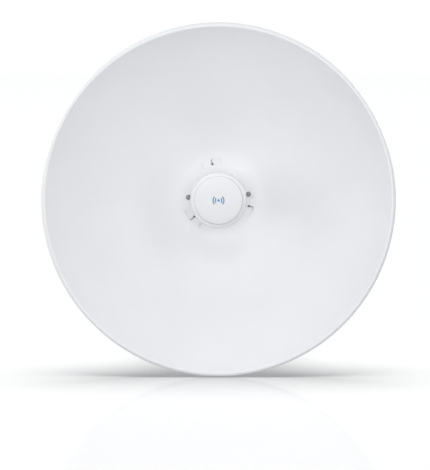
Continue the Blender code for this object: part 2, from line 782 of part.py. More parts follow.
def make_pole_bracket():
    """Two cheeks with arc slots on a wide web that the front jaw backs."""
    pivot = (PIVOT_Y, PIVOT_Z)
    side = [(WEB_BACK, 0.0), (WEB_BACK, BRACKET_TOP), (PIVOT_Y - 0.010, BRACKET_TOP)]
    side += arc(0.006, math.pi / 2, math.pi, 4, (PIVOT_Y - 0.010, BRACKET_TOP - 0.006))
    side += arc(0.014, math.pi, 3 * math.pi / 2, 6, pivot)
    shape = prism(side, -POLE_CHEEK_OUT, POLE_CHEEK_OUT, "X")
    bracket = piece("pole_bracket", shape, galvanised(), (0, WEB_BACK, CLAMP_Z))
    inner = POLE_CHEEK_OUT - BRACKET_SHEET
    cut(bracket, box((-inner, inner), (-0.1, WEB_FRONT), (-0.02, 0.08)), "channel")
    half = JAW_HALF_WIDTH
    web = prism(rounded(rectangle(-half, half, 0.0, BRACKET_TOP), 0.008), WEB_FRONT, WEB_BACK, "Y")
    add(bracket, web, "web")
    across = (-0.03, 0.03)
    slot_half = TILT_LIMIT + math.radians(1)
    cut(bracket, prism(arc_slot(LOCK_ARM, pivot, slot_half, M6_HOLE), *across, "X"), "arc_slots")
    cut(bracket, prism(circle(M6_HOLE, pivot), *across, "X"), "pivot_holes")
    bolts = [
        prism(circle(M8_HOLE, (x, CLAMP_Z)), WEB_FRONT - 0.002, WEB_BACK + 0.002, "Y")
        for x in (-CLAMP_BOLT_X, CLAMP_BOLT_X)
    ]
    cut(bracket, joined(bolts), "bolt_holes")


def make_jaw(name, side, parent=None):
    """A channel whose two flanges have a V for the pole. Side is -1 in front of the pole, 1 behind it."""
    web_in = JAW_BACK - JAW_SHEET
    mouth = V_APEX - V_HALF_MOUTH / math.tan(V_HALF_ANGLE)
    half = JAW_HALF_WIDTH
    low = CLAMP_Z - JAW_HALF_HEIGHT
    high = CLAMP_Z + JAW_HALF_HEIGHT
    web = rounded(rectangle(-half, half, low, high), 0.006, 3)
    span = sorted((side * web_in, side * JAW_BACK))
    jaw = piece(name, prism(web, *span, "Y"), galvanised(), (0, side * V_APEX, CLAMP_Z), parent)
    flange = [
        (-JAW_FLANGE_HALF, web_in + 0.001),
        (-JAW_FLANGE_HALF, mouth),
        (-V_HALF_MOUTH, mouth),
        (0, V_APEX),
        (V_HALF_MOUTH, mouth),
        (JAW_FLANGE_HALF, mouth),
        (JAW_FLANGE_HALF, web_in + 0.001),
    ]
    flange = [(x, side * y) for x, y in flange]
    add(jaw, prism(flange, low, low + JAW_SHEET, "Z"), "lower_flange")
    add(jaw, prism(flange, high - JAW_SHEET, high, "Z"), "upper_flange")
    holes = [
        prism(circle(M8_HOLE, (x, CLAMP_Z)), span[0] - 0.002, span[1] + 0.002, "Y")
        for x in (-CLAMP_BOLT_X, CLAMP_BOLT_X)
    ]
    cut(jaw, joined(holes), "bolt_holes")
    return jaw


# Bolts and nuts


def flange_bolt(radius, flats, length):
    """A hexagon flange bolt: its head towards -Y and the underside of the flange at y = 0."""
    head = 1.7 * radius
    flange = flats * 0.68
    profile = [(0, -head), (flats / 2, -head), (flats / 2, -0.0012), (flange, -0.0008), (flange, 0)]
    profile += [(radius, 0), (radius, length - 0.0008), (radius - 0.0006, length), (0, length)]
    return turned(profile, BOLT_STEPS, hexagonal=(1, 2))


def flange_nut(radius, flats, height):
    """A hexagon flange nut: its flange at y = 0 and its body towards +Y."""
    flange = flats * 0.66
    bore = radius + 0.0002
    profile = [(bore, 0), (flange, 0), (flange, 0.0008)]
    profile += [(flats / 2, 0.0014), (flats / 2, height), (bore, height)]
    return turned(profile, BOLT_STEPS, hexagonal=(3, 4))


def carriage_bolt(radius, length):
    """A round-headed bolt: its head towards -Y and the underside of the head at y = 0."""
    profile = [(0, -0.0046), (0.0042, -0.0040), (0.0075, -0.0022), (0.0090, 0)]
    profile += [(radius, 0), (radius, length - 0.001), (radius - 0.0008, length), (0, length)]
    return turned(profile, BOLT_STEPS)


def make_bracket_bolts(head):
    for index, (x, z) in enumerate(bracket_bolt_places(), start=1):
        place = (x, TILT_BACK + GAP, z)
        shape = aimed(flange_bolt(M6, 0.010, 0.0135), place, (0, -1, 0))
        piece(f"bracket_bolt_{index}", shape, zinc(), place, head)


def make_side_bolts(head):
    """The pivot and locking bolts through both pairs of cheeks, each with its nut inside."""
    nut_x = POLE_CHEEK_OUT - BRACKET_SHEET - GAP
    for side, word in ((-1, "left"), (1, "right")):
        for kind, z in (("pivot", PIVOT_Z), ("tilt_lock", PIVOT_Z + LOCK_ARM)):
            place = (side * (TILT_CHEEK_OUT + GAP), PIVOT_Y, z)
            shape = aimed(flange_bolt(M6, 0.010, 0.0138), place, (-side, 0, 0))
            piece(f"{kind}_bolt_{word}", shape, zinc(), place, head)
            place = (side * nut_x, PIVOT_Y, z)
            shape = aimed(flange_nut(M6, 0.010, 0.0055), place, (-side, 0, 0))
            piece(f"{kind}_nut_{word}", shape, zinc(), place, head)


def make_clamp_bolts(rear):
    for side, word in ((-1, "left"), (1, "right")):
        head_y = WEB_FRONT - GAP
        place = (side * CLAMP_BOLT_X, head_y, CLAMP_Z)
        shape = aimed(carriage_bolt(M8, CLAMP_BOLT_END - head_y), place, (0, 1, 0))
        piece(f"clamp_bolt_{word}", shape, zinc(), place)
        place = (side * CLAMP_BOLT_X, JAW_BACK + GAP, CLAMP_Z)
        piece(f"clamp_nut_{word}", aimed(flange_nut(M8, 0.013, 0.008), place, (0, 1, 0)), zinc(), place, rear)


# Assembly


def main():
    for obj in list(bpy.data.objects):
        bpy.data.objects.remove(obj)

    head = pivot_empty("tilt_axis", (0, PIVOT_Y, PIVOT_Z))
    feed = pivot_empty("feed_axis", (0, FEED_BACK, 0))
    cover = pivot_empty("cover_axis", (0, COVER_FRONT, COVER_BOTTOM))
    rear = pivot_empty("clamp_axis", (0, V_APEX, CLAMP_Z))
    for empty in (feed, cover):
        empty.parent = head
        empty.matrix_parent_inverse = Matrix.Translation(head.location).inverted()

    make_reflector(head)
    make_rear_housing(head)
    make_lock_screws(head)
    make_latch(head)
    make_latch_spring(head)
    make_port_cover(cover)

    make_feed_tube(feed)
    make_front_cover(feed)
    make_feed_optics(feed)
    jack_z = make_radio(feed)
    make_end_cap(feed, jack_z)
    reset = pivot_empty("reset_axis", (RESET_X, FEED_BACK, jack_z))
    make_reset_button(reset, jack_z)
    reset.parent = feed
    reset.matrix_parent_inverse = Matrix.Translation(feed.location).inverted()

    make_tilt_bracket(head)
    make_bracket_bolts(head)
    make_side_bolts(head)
    make_pole_bracket()
    make_jaw("front_jaw", -1)
    make_jaw("rear_jaw", 1, rear)
    make_clamp_bolts(rear)


main()
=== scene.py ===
"""Looks of the outdoor wireless bridge, on its CAD frame. Metres, +Z up, the dish faces -Y."""

import json
import math

import bmesh
import bpy
from mathutils import Matrix, Vector


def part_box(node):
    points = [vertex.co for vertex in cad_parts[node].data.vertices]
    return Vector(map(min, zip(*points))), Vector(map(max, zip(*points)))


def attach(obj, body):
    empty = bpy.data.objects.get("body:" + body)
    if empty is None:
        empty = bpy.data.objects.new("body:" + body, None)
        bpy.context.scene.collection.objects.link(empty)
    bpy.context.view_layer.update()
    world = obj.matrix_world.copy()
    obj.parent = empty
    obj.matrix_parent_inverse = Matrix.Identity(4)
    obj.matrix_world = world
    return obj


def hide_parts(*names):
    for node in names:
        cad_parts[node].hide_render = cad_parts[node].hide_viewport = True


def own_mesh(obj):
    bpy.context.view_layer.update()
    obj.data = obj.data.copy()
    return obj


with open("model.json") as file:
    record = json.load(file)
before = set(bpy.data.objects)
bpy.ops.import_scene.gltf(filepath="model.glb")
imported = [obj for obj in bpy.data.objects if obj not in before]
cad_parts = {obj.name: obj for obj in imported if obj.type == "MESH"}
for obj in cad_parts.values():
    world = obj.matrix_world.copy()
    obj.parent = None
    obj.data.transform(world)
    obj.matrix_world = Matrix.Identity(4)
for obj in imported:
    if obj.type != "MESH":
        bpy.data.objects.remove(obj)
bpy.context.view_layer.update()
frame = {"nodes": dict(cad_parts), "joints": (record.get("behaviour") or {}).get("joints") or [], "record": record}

# Sizes that the frame states

dish_low, dish_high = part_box("reflector")
drum_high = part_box("rear_housing")[1]
hub_low, hub_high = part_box("feed_front_cover")
tube_low, tube_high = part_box("feed_tube")
cover_low, cover_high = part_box("port_cover")
tilt_low, tilt_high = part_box("tilt_bracket")
pole_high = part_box("pole_bracket")[1]
jaw_low, jaw_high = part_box("front_jaw")
joints = {joint["name"]: joint for joint in frame["joints"]}
PIVOT_Y, PIVOT_Z = joints["head_tilt"]["pos_m"][1:]
TILT_LIMIT = math.radians(joints["head_tilt"]["range_deg"][1])

DISH_RADIUS = dish_high.x
HOUSING_RADIUS = drum_high.x
HOUSING_BACK = drum_high.y
HUB_RADIUS = hub_high.x
HUB_FRONT = hub_low.y
FEED_BACK = tube_high.y

# Sizes that repeat the design's

GAP = 0.0003
SHEET = 0.0010
FOCAL_LENGTH = 0.130
PLATE_RADIUS = 0.066
PLATE_BLEND = 0.0012  # square metres; how softly the flat centre turns into the bowl
LIP_START = 0.225
BOWL_END = 0.2534
HEM_END = 0.0112  # behind the rim's crest
FEED_BORE = 0.0311
HOUSING_DEPTH = 0.050
HOUSING_WALL = 0.003
BACK_WALL = 0.0035
SLOT_ANGLES = [math.radians(angle) for angle in (101, 221, 341)]
SLOT_WIDE = (0.0475, 0.0570)
SLOT_NARROW = (0.0495, 0.0550)
SLOT_HALF_ANGLE = math.radians(17)
EYE_REACH = 0.0488
EYE_RADIUS = 0.0016
HUB_FACE_RADIUS = 0.0355
HUB_STEP = 0.0032
TUBE_RADIUS = 0.0305
TUBE_NECK = 0.0285
TUBE_WALL = 0.0022
BRACKET_SHEET = 0.003
JAW_SHEET = 0.0025
LOCK_ARM = 0.028
POLE_RADIUS = 0.025
V_HALF_ANGLE = math.radians(60)
V_HALF_MOUTH = 0.024
M4_HOLE = 0.0023
SCREW_HEAD = 0.00375
SCREW_EDGE = 0.0014
M6 = 0.0030
M6_HOLE = 0.0033
M6_FLATS = 0.010
M6_HEAD = 1.7 * M6
M6_PITCH = 0.001
M8 = 0.0040
M8_HOLE = 0.0043
M8_FLATS = 0.013
M8_PITCH = 0.00125
CARRIAGE_HEAD = 0.0046
HEX_CHAMFER = 0.955  # of the distance to a corner

HOUSING_FRONT = HOUSING_BACK - HOUSING_DEPTH
PLATE_BACK = HOUSING_FRONT - GAP
PLATE_FRONT = PLATE_BACK - SHEET
CLAMP_Z = (jaw_low.z + jaw_high.z) / 2
V_APEX = POLE_RADIUS / math.sin(V_HALF_ANGLE)

TINY = 0.000002
QUARTER = math.pi / 2
DISH_STEPS = 256
FINE_STEPS = 128
SMALL_STEPS = 48
AXES = {"X": (1, 2, 0), "Y": (0, 2, 1), "Z": (0, 1, 2)}


# Shapes


def arc(radius, start, end, steps, centre=(0, 0)):
    """Points along an arc, ends included."""
    points = []
    for step in range(steps + 1):
        angle = start + (end - start) * step / steps
        points.append((centre[0] + radius * math.cos(angle), centre[1] + radius * math.sin(angle)))
    return points


def circle(radius, centre, steps=SMALL_STEPS):
    return arc(radius, 0, math.tau * (1 - 1 / steps), steps - 1, centre)


def sector(inner, outer, start, end, steps=12):
    """A ring's sector between two angles."""
    return arc(outer, start, end, steps) + arc(inner, end, start, steps)


def rectangle(low_u, high_u, low_v, high_v):
    return [(low_u, low_v), (high_u, low_v), (high_u, high_v), (low_u, high_v)]


def rounded(points, radius, steps=8):
    """The outline with each corner made an arc of the radius."""
    outline = []
    for index, point in enumerate(points):
        corner = Vector(point)
        back = (Vector(points[index - 1]) - corner).normalized()
        ahead = (Vector(points[(index + 1) % len(points)]) - corner).normalized()
        half = back.angle(ahead) / 2
        centre = corner + (back + ahead).normalized() * radius / math.sin(half)
        start = corner + back * radius / math.tan(half) - centre
        end = corner + ahead * radius / math.tan(half) - centre
        for step in range(steps + 1):
            outline.append(tuple(centre + start.slerp(end, step / steps).normalized() * radius))
    return outline


def outward(bm):
    """The shape with its normals facing out."""
    bmesh.ops.recalc_face_normals(bm, faces=bm.faces)
    return bm


def turned(profile, steps=FINE_STEPS, radius_at=None):
    """A closed (radius, y) outline turned about Y. radius_at(index, angle, radius) may reshape a ring."""
    bm = bmesh.new()
    rings = []
    for index, (radius, y) in enumerate(profile):
        if radius == 0:
            rings.append([bm.verts.new((0, y, 0))])
            continue
        ring = []
        for step in range(steps):
            angle = math.tau * step / steps
            reach = radius_at(index, angle, radius) if radius_at else radius
            ring.append(bm.verts.new((reach * math.cos(angle), y, reach * math.sin(angle))))
        rings.append(ring)
    for ring, after in zip(rings, rings[1:] + rings[:1]):
        for step in range(steps):
            turn = (step + 1) % steps
            corners = [ring[step % len(ring)], ring[turn % len(ring)]]
            corners += [after[turn % len(after)], after[step % len(after)]]
            corners = list(dict.fromkeys(corners))
            if len(corners) > 2:
                bm.faces.new(corners)
    return outward(bm)


def bridge(bm, loops):
    """Joins each loop of vertices to the next by faces."""
    for loop, after in zip(loops, loops[1:]):
        for index in range(len(loop)):
            bm.faces.new((loop[index - 1], loop[index], after[index], after[index - 1]))


def capped(bm, loops):
    """A solid from a run of loops, with a face at each end."""
    bridge(bm, loops)
    bm.faces.new(loops[0])
    bm.faces.new(loops[-1])
    return outward(bm)


def ring_loops(bm, rows):
    """A loop of vertices about Y for each (y, radii) row."""
    loops = []
    for y, ring in rows:
        turns = [math.tau * step / len(ring) for step in range(len(ring))]
        loops.append([bm.verts.new((r * math.cos(a), y, r * math.sin(a))) for r, a in zip(ring, turns)])
    return loops


def prism(outline, low, high, axis):
    """An outline in the two other axes, in XYZ order, run from low to high along the axis."""
    bm = bmesh.new()
    first, second, along = AXES[axis]
    ends = []
    for level in (low, high):
        end = []
        for u, v in outline:
            place = [0.0, 0.0, 0.0]
            place[first] = u
            place[second] = v
            place[along] = level
            end.append(bm.verts.new(place))
        ends.append(end)
        bm.faces.new(end)
    for index in range(len(outline)):
        bm.faces.new((ends[0][index - 1], ends[0][index], ends[1][index], ends[1][index - 1]))
    return outward(bm)


def box(x, y, z):
    """A block given by its (low, high) along each axis."""
    corners = [(x[0], y[0]), (x[1], y[0]), (x[1], y[1]), (x[0], y[1])]
    return prism(corners, z[0], z[1], "Z")


def joined(parts):
    """One bmesh of several."""
    whole = bmesh.new()
    for part in parts:
        mesh = bpy.data.meshes.new("shape")
        part.to_mesh(mesh)
        part.free()
        whole.from_mesh(mesh)
        bpy.data.meshes.remove(mesh)
    return whole


def aimed(bm, origin, direction):
    """The shape with its Y axis along the direction, moved to the origin."""
    turn = Vector((0, 1, 0)).rotation_difference(Vector(direction)).to_matrix().to_4x4()
    bmesh.ops.transform(bm, matrix=Matrix.Translation(origin) @ turn, verts=bm.verts)
    return bm


def ring_about(place):
    """Moves a shape made about the Y axis to another (x, z)."""
    return Matrix.Translation((place[0], 0, place[1]))


# Objects


def linked(name, bm):
    mesh = bpy.data.meshes.new(name)
    bm.to_mesh(mesh)
    bm.free()
    obj = bpy.data.objects.new(name, mesh)
    bpy.context.scene.collection.objects.link(obj)
    return obj


def settle(obj):
    """Makes the object's modifiers part of its mesh."""
    graph = bpy.context.evaluated_depsgraph_get()
    made = bpy.data.meshes.new_from_object(obj.evaluated_get(graph))
    old = obj.data
    obj.modifiers.clear()
    obj.data = made
    bpy.data.meshes.remove(old)


def combine(obj, bm, operation):
    """Cuts the shape out of the object, or adds it, at once."""
    helper = linked("helper", bm)
    modifier = obj.modifiers.new("combine", "BOOLEAN")
    modifier.operation = operation
    modifier.solver = "EXACT"
    modifier.object = helper
    settle(obj)
    mesh = helper.data
    bpy.data.objects.remove(helper)
    bpy.data.meshes.remove(mesh)


def cut(obj, bm):
    combine(obj, bm, "DIFFERENCE")


def add(obj, bm):
    combine(obj, bm, "UNION")


def soften(obj, width, segments=3, angle=35):
    """Rounds the object's sharp edges and settles the result."""
    bevel = obj.modifiers.new("soften", "BEVEL")
    bevel.width = width
    bevel.segments = segments
    bevel.limit_method = "ANGLE"
    bevel.angle_limit = math.radians(angle)
    bevel.miter_outer = "MITER_ARC"
    settle(obj)


def finished(obj, slot, body, *nodes, sharp=32, look=None):
    """Shades and colours a piece, rides it on its body and hides the CAD nodes that it stands for."""
    bm = bmesh.new()
    bm.from_mesh(obj.data)
    bmesh.ops.remove_doubles(bm, verts=bm.verts, dist=TINY)
    bmesh.ops.dissolve_degenerate(bm, edges=bm.edges, dist=TINY)
    bm.to_mesh(obj.data)
    bm.free()
    obj.data.shade_smooth()
    obj.data.set_sharp_from_angle(angle=math.radians(sharp))
    obj.data.materials.clear()
    obj.data.materials.append(look or LOOKS[slot])
    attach(obj, body)
    if nodes:
        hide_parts(*nodes)
    return obj


# Materials


class Look:
    """A Principled material with nodes wired by short calls."""

    def __init__(self, name, roughness, metallic=0.0, **values):
        self.material = bpy.data.materials.new(name)
        self.material.use_nodes = True
        self.nodes = self.material.node_tree.nodes
        self.links = self.material.node_tree.links
        self.shader = self.nodes["Principled BSDF"]
        self.shader.inputs["Roughness"].default_value = roughness
        self.shader.inputs["Metallic"].default_value = metallic
        for socket, value in values.items():
            self.shader.inputs[socket.replace("_", " ")].default_value = value
        self.place = self.nodes.new("ShaderNodeTexCoord").outputs["Object"]

    def link(self, source, target):
        self.links.new(source, target)

    def node(self, kind, source, socket, **values):
        """A node with its values set and one input linked."""
        made = self.nodes.new(f"ShaderNode{kind}")
        for name, value in values.items():
            made.inputs[name.replace("_", " ")].default_value = value
        self.link(source, made.inputs[socket])
        return made

    def stretched(self, scale):
        return self.node("Mapping", self.place, "Vector", Scale=scale).outputs["Vector"]

    def noise(self, scale, detail=2.0, place=None):
        place = place or self.place
        return self.node("TexNoise", place, "Vector", Scale=scale, Detail=detail).outputs["Fac"]

    def cells(self, scale, what="Color"):
        return self.node("TexVoronoi", self.place, "Vector", Scale=scale).outputs[what]

    def colour(self, source, low, high, start=0.3, end=0.7):
        node = self.node("ValToRGB", source, "Fac")
        for element, position, tone in zip(node.color_ramp.elements, (start, end), (low, high)):
            element.position = position
            element.color = (*tone, 1)
        self.link(node.outputs["Color"], self.shader.inputs["Base Color"])

    def roughness(self, source, low, high):
        node = self.node("MapRange", source, "Value", To_Min=low, To_Max=high)
        self.link(node.outputs["Result"], self.shader.inputs["Roughness"])

    def bump(self, source, distance, strength=1.0, under=None):
        node = self.node("Bump", source, "Height", Distance=distance, Strength=strength)
        if under:
            self.link(under, node.inputs["Normal"])
        self.link(node.outputs["Normal"], self.shader.inputs["Normal"])
        return node.outputs["Normal"]


def shade(value, tint=(1.0, 1.0, 1.0)):
    return tuple(value * part for part in tint)


COOL = (0.972, 0.982, 1.0)


def powder_coat():
    look = Look("powder_coat", 0.42)
    cloud = look.noise(9, 3)
    look.colour(cloud, shade(0.845, COOL), shade(0.875, COOL))
    peel = look.noise(520, 2)
    look.roughness(look.noise(60, 2), 0.38, 0.46)
    fine = look.bump(look.noise(2600, 1), 0.000006, 0.5)
    look.bump(peel, 0.00002, 0.5, fine)
    return look.material


def mottled(name, roughness, colour, gloss, grain=None, metallic=0.0, **values):
    """A material of noises. colour, gloss and grain start with a noise's scale and detail, and end with two
    colours, two roughnesses, or a bump's distance and strength."""
    look = Look(name, roughness, metallic, **values)
    look.colour(look.noise(*colour[:2]), *colour[2:])
    look.roughness(look.noise(*gloss[:2]), *gloss[2:])
    if grain:
        look.bump(look.noise(*grain[:2]), *grain[2:])
    return look.material


def grained_plastic(name, value, tint=COOL, roughness=0.5):
    """Moulded plastic with a spark-eroded grain and slight flow clouds."""
    colour = (24, 3, shade(value * 0.975, tint), shade(value * 1.02, tint))
    gloss = (180, 2, roughness - 0.05, roughness + 0.05)
    return mottled(name, roughness, colour, gloss, (2200, 3, 0.00003, 0.55))


def smooth_plastic():
    tint = (0.97, 0.97, 1.0)
    colour = (30, 2, shade(0.70, tint), shade(0.72, tint))
    coat = {"Coat_Weight": 0.15, "Coat_Roughness": 0.2}
    return mottled("hub_plastic", 0.3, colour, (90, 2, 0.27, 0.34), (1500, 2, 0.000008, 0.4), **coat)


def galvanised_steel():
    """Hot-dipped zinc: spangled grains that differ in shade and gloss."""
    look = Look("galvanised_steel", 0.45, 1.0)
    grains = look.cells(170)
    look.colour(grains, (0.36, 0.375, 0.39), (0.49, 0.50, 0.51), 0.1, 0.9)
    look.roughness(grains, 0.36, 0.56)
    pits = look.bump(look.noise(700, 4), 0.00003, 0.4)
    look.bump(look.cells(170, "Distance"), 0.00004, 0.3, pits)
    return look.material


def zinc_plate():
    colour = (260, 4, (0.42, 0.44, 0.46), (0.54, 0.53, 0.50))
    return mottled("zinc_plate", 0.3, colour, (600, 3, 0.24, 0.40), (1800, 2, 0.00001, 0.4), 1.0)


def dark_steel():
    colour = (500, 3, (0.12, 0.12, 0.13), (0.22, 0.22, 0.23))
    return mottled("dark_steel", 0.4, colour, (900, 2, 0.32, 0.48), (2500, 2, 0.00001, 0.4), 1.0)


def brushed_aluminium():
    look = Look("brushed_aluminium", 0.35, 1.0)
    grain = look.noise(140, 4, look.stretched((1, 22, 22)))
    look.colour(grain, (0.68, 0.69, 0.71), (0.84, 0.84, 0.85))
    look.roughness(grain, 0.26, 0.44)
    look.bump(grain, 0.00001, 0.5)
    return look.material


def tin_plate():
    look = Look("tin_plate", 0.3, 1.0)
    grain = look.noise(180, 3, look.stretched((14, 1, 14)))
    look.colour(grain, (0.62, 0.62, 0.60), (0.76, 0.76, 0.73))
    look.roughness(look.noise(240, 3), 0.22, 0.38)
    look.bump(grain, 0.000008, 0.4)
    return look.material


def rubber():
    colour = (300, 3, (0.018, 0.018, 0.019), (0.040, 0.040, 0.042))
    return mottled("rubber", 0.75, colour, (500, 2, 0.65, 0.85), (1600, 4, 0.00004, 0.6))


def circuit_board():
    """Green solder mask with the faint lines of tracks under it."""
    look = Look("circuit_board", 0.35, Coat_Weight=0.4, Coat_Roughness=0.15)
    masks = {"Color1": (0.012, 0.13, 0.055, 1), "Color2": (0.016, 0.16, 0.070, 1)}
    lines = {"Mortar": (0.035, 0.24, 0.11, 1), "Mortar_Size": 0.03}
    tracks = look.node("TexBrick", look.place, "Vector", Scale=120, **masks, **lines)
    look.link(tracks.outputs["Color"], look.shader.inputs["Base Color"])
    look.roughness(look.noise(400, 2), 0.3, 0.42)
    look.bump(tracks.outputs["Fac"], 0.00002, 0.4)
    return look.material


def silicone_pad():
    colour = (600, 4, (0.26, 0.33, 0.42), (0.34, 0.42, 0.50))
    return mottled("silicone_pad", 0.85, colour, (300, 2, 0.78, 0.92), (900, 3, 0.00005, 0.6))


def acrylic():
    colour = (200, 2, (0.86, 0.92, 0.94), (0.92, 0.96, 0.97))
    return mottled("acrylic", 0.12, colour, (300, 2, 0.08, 0.18), Transmission_Weight=0.85, IOR=1.49)


def printed_mark():
    colour = (900, 3, (0.035, 0.20, 0.42), (0.045, 0.24, 0.48))
    return mottled("printed_mark", 0.45, colour, (700, 2, 0.4, 0.5))


def gold_plate():
    colour = (900, 2, (0.82, 0.60, 0.26), (0.90, 0.70, 0.36))
    return mottled("gold_plate", 0.25, colour, (700, 2, 0.2, 0.32), metallic=1.0)


LOOKS = {
    "dish_paint": powder_coat(),
    "white_plastic": grained_plastic("white_plastic", 0.87),
    "hub_plastic": smooth_plastic(),
    "grey_plastic": grained_plastic("grey_plastic", 0.30, (0.96, 0.98, 1.0), 0.55),
    "black_plastic": grained_plastic("black_plastic", 0.03, (1, 1, 1), 0.45),
    "clear_plastic": acrylic(),
    "galvanised": galvanised_steel(),
    "zinc": zinc_plate(),
    "dark_steel": dark_steel(),
    "aluminium": brushed_aluminium(),
    "tin_plate": tin_plate(),
    "circuit_board": circuit_board(),
    "thermal_pad": silicone_pad(),
    "rubber": rubber(),
}


def dress_frame():
    """Every CAD node gets its slot's finished material; the fine pieces hide the ones they replace."""
    slots = {part["node"]: part["material_slot"] for part in frame["record"]["subparts"]}
    for name, node in frame["nodes"].items():
        node.data.materials.clear()
        node.data.materials.append(LOOKS[slots[name]])


# Reflector


def paraboloid(radius):
    """The y of the reflecting surface: flat at the centre, and a paraboloid beyond it."""
    reach = radius**2 - PLATE_RADIUS**2
    return PLATE_FRONT - (reach + math.hypot(reach, PLATE_BLEND)) / (8 * FOCAL_LENGTH)


def bowl(radius):
    """The paraboloid with a lip that steepens it towards the rim's crest."""
    past = max(0.0, radius - LIP_START) / (BOWL_END - LIP_START)
    return paraboloid(radius) + (dish_low.y + 0.0002 - paraboloid(BOWL_END)) * past**2


def bowl_back(radius):
    step = 0.0005
    slope = (bowl(radius + step) - bowl(radius - step)) / (2 * step)
    return bowl(radius) + SHEET * math.hypot(1, slope)


def keyhole(middle):
    """A bayonet slot: wide before its middle, where the hook goes in, and narrow after it."""
    start = middle - SLOT_HALF_ANGLE
    end = middle + SLOT_HALF_ANGLE
    outside = arc(SLOT_WIDE[1], start, middle, 16) + arc(SLOT_NARROW[1], middle, end, 16)
    inside = arc(SLOT_NARROW[0], end, middle, 16) + arc(SLOT_WIDE[0], middle, start, 16)
    return outside + inside


def eye_place(middle):
    """The round notch at the middle of a slot's inner edge."""
    return (EYE_REACH * math.cos(middle), EYE_REACH * math.sin(middle))


def measured(node):
    """A CAD node's low and high corners and its centre."""
    low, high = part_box(node)
    return low, high, (low + high) / 2


def node_centre(node):
    return measured(node)[2]


def screw_places():
    centres = [node_centre(f"lock_screw_{side}") for side in ("left", "right")]
    return [(centre.x, centre.z) for centre in centres]


def oval(reach, rise, start, end, steps, centre):
    """Points along an arc that is flattened one way."""
    points = arc(1.0, start, end, steps)
    return [(centre[0] + reach * u, centre[1] + rise * v) for u, v in points]


def make_dish():
    """The pressed dish: its bowl runs smoothly into a rim that is turned back to a hem."""
    bowl_steps = 76
    roll_steps = 12
    crest = 0.2546
    turn_back = 0.0090
    hem = SHEET / 2
    hem_end = dish_low.y + HEM_END
    radii = [FEED_BORE + (BOWL_END - FEED_BORE) * k / bowl_steps for k in range(bowl_steps + 1)]
    front = [(r, bowl(r)) for r in radii]
    rim = (crest, dish_low.y + turn_back)
    front += [((BOWL_END + crest) / 2, dish_low.y + 0.00005)]
    front += oval(DISH_RADIUS - crest, turn_back, -QUARTER, 0, roll_steps, rim)
    front += arc(hem, 0, math.pi, 6, (DISH_RADIUS - hem, hem_end - hem))
    inside = (DISH_RADIUS - crest - SHEET, turn_back - SHEET)
    back = oval(*inside, 0, -QUARTER, roll_steps, rim)
    back += [(r, bowl_back(r)) for r in reversed(radii[:-1])]
    dish = linked("dish", turned(front + back, DISH_STEPS))
    through = (PLATE_FRONT - 0.004, PLATE_BACK + 0.004)
    openings = [prism(keyhole(middle), *through, "Y") for middle in SLOT_ANGLES]
    openings += [prism(circle(EYE_RADIUS, eye_place(middle)), *through, "Y") for middle in SLOT_ANGLES]
    openings += [prism(circle(M4_HOLE, place), *through, "Y") for place in screw_places()]
    for opening in openings:
        cut(dish, opening)
    finished(dish, "dish_paint", "head", "reflector")


# Rear housing


def make_drum():
    inner = HOUSING_RADIUS - HOUSING_WALL
    round_out = 0.003
    groove_y = HOUSING_FRONT + 0.012
    groove = 0.0006
    wall_in = HOUSING_BACK - BACK_WALL
    profile = [(FEED_BORE, HOUSING_FRONT)]
    profile += arc(0.0008, -QUARTER, 0, 4, (HOUSING_RADIUS - 0.0008, HOUSING_FRONT + 0.0008))
    profile += [(HOUSING_RADIUS, groove_y - groove), (HOUSING_RADIUS - groove, groove_y)]
    profile += [(HOUSING_RADIUS, groove_y + groove)]
    profile += arc(round_out, 0, QUARTER, 8, (HOUSING_RADIUS - round_out, HOUSING_BACK - round_out))
    profile += [(0.0575, HOUSING_BACK), (0.0570, HOUSING_BACK - groove), (0.0560, HOUSING_BACK - groove)]
    profile += [(0.0555, HOUSING_BACK), (0, HOUSING_BACK), (0, wall_in)]
    profile += arc(0.003, QUARTER, 0, 6, (inner - 0.003, wall_in - 0.003))
    profile += [(inner, HOUSING_FRONT + HOUSING_WALL), (FEED_BORE, HOUSING_FRONT + HOUSING_WALL)]
    drum = linked("drum", turned(profile))

    bolts = [node_centre(f"bracket_bolt_{index}") for index in range(1, 5)]
    bolts = [(centre.x, centre.z) for centre in bolts]
    bosses = [prism(circle(0.006, place), wall_in - 0.010, HOUSING_BACK - 0.001, "Y") for place in bolts]
    front_in = HOUSING_FRONT + HOUSING_WALL
    for place in screw_places():
        bosses.append(prism(circle(0.0042, place), HOUSING_FRONT + 0.001, front_in + 0.008, "Y"))
    for turn in range(12):
        angle = math.tau * (turn + 0.5) / 12
        if abs(math.sin(angle)) < 0.7:
            rib = box((0.030, inner + 0.001), (wall_in - 0.006, wall_in + 0.001), (-0.0007, 0.0007))
            bmesh.ops.rotate(rib, matrix=Matrix.Rotation(-angle, 3, "Y"), verts=rib.verts)
            bosses.append(rib)
    add(drum, joined(bosses))
    hook_shapes(drum)
    holes = [prism(circle(M6_HOLE, place), wall_in - 0.008, HOUSING_BACK + 0.002, "Y") for place in bolts]
    bay = rounded(rectangle(-0.019, 0.019, -0.056, -0.003), 0.004)
    holes.append(prism(bay, wall_in - 0.0035, HOUSING_BACK + 0.002, "Y"))
    cut(drum, joined(holes))
    button_low, button_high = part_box("release_button")
    clear = 0.0004
    half = 0.008 + clear
    slot = rounded(rectangle(-half, half, button_low.y - clear, button_high.y + clear), 0.0015)
    cut(drum, prism(slot, 0.055, 0.075, "Z"))
    front_holes = [core_hole(middle) for middle in SLOT_ANGLES]
    for place in screw_places():
        front_holes.append(prism(circle(M4_HOLE, place), HOUSING_FRONT - 0.002, front_in + 0.0065, "Y"))
    cut(drum, joined(front_holes))
    finished(drum, "white_plastic", "head", "rear_housing")


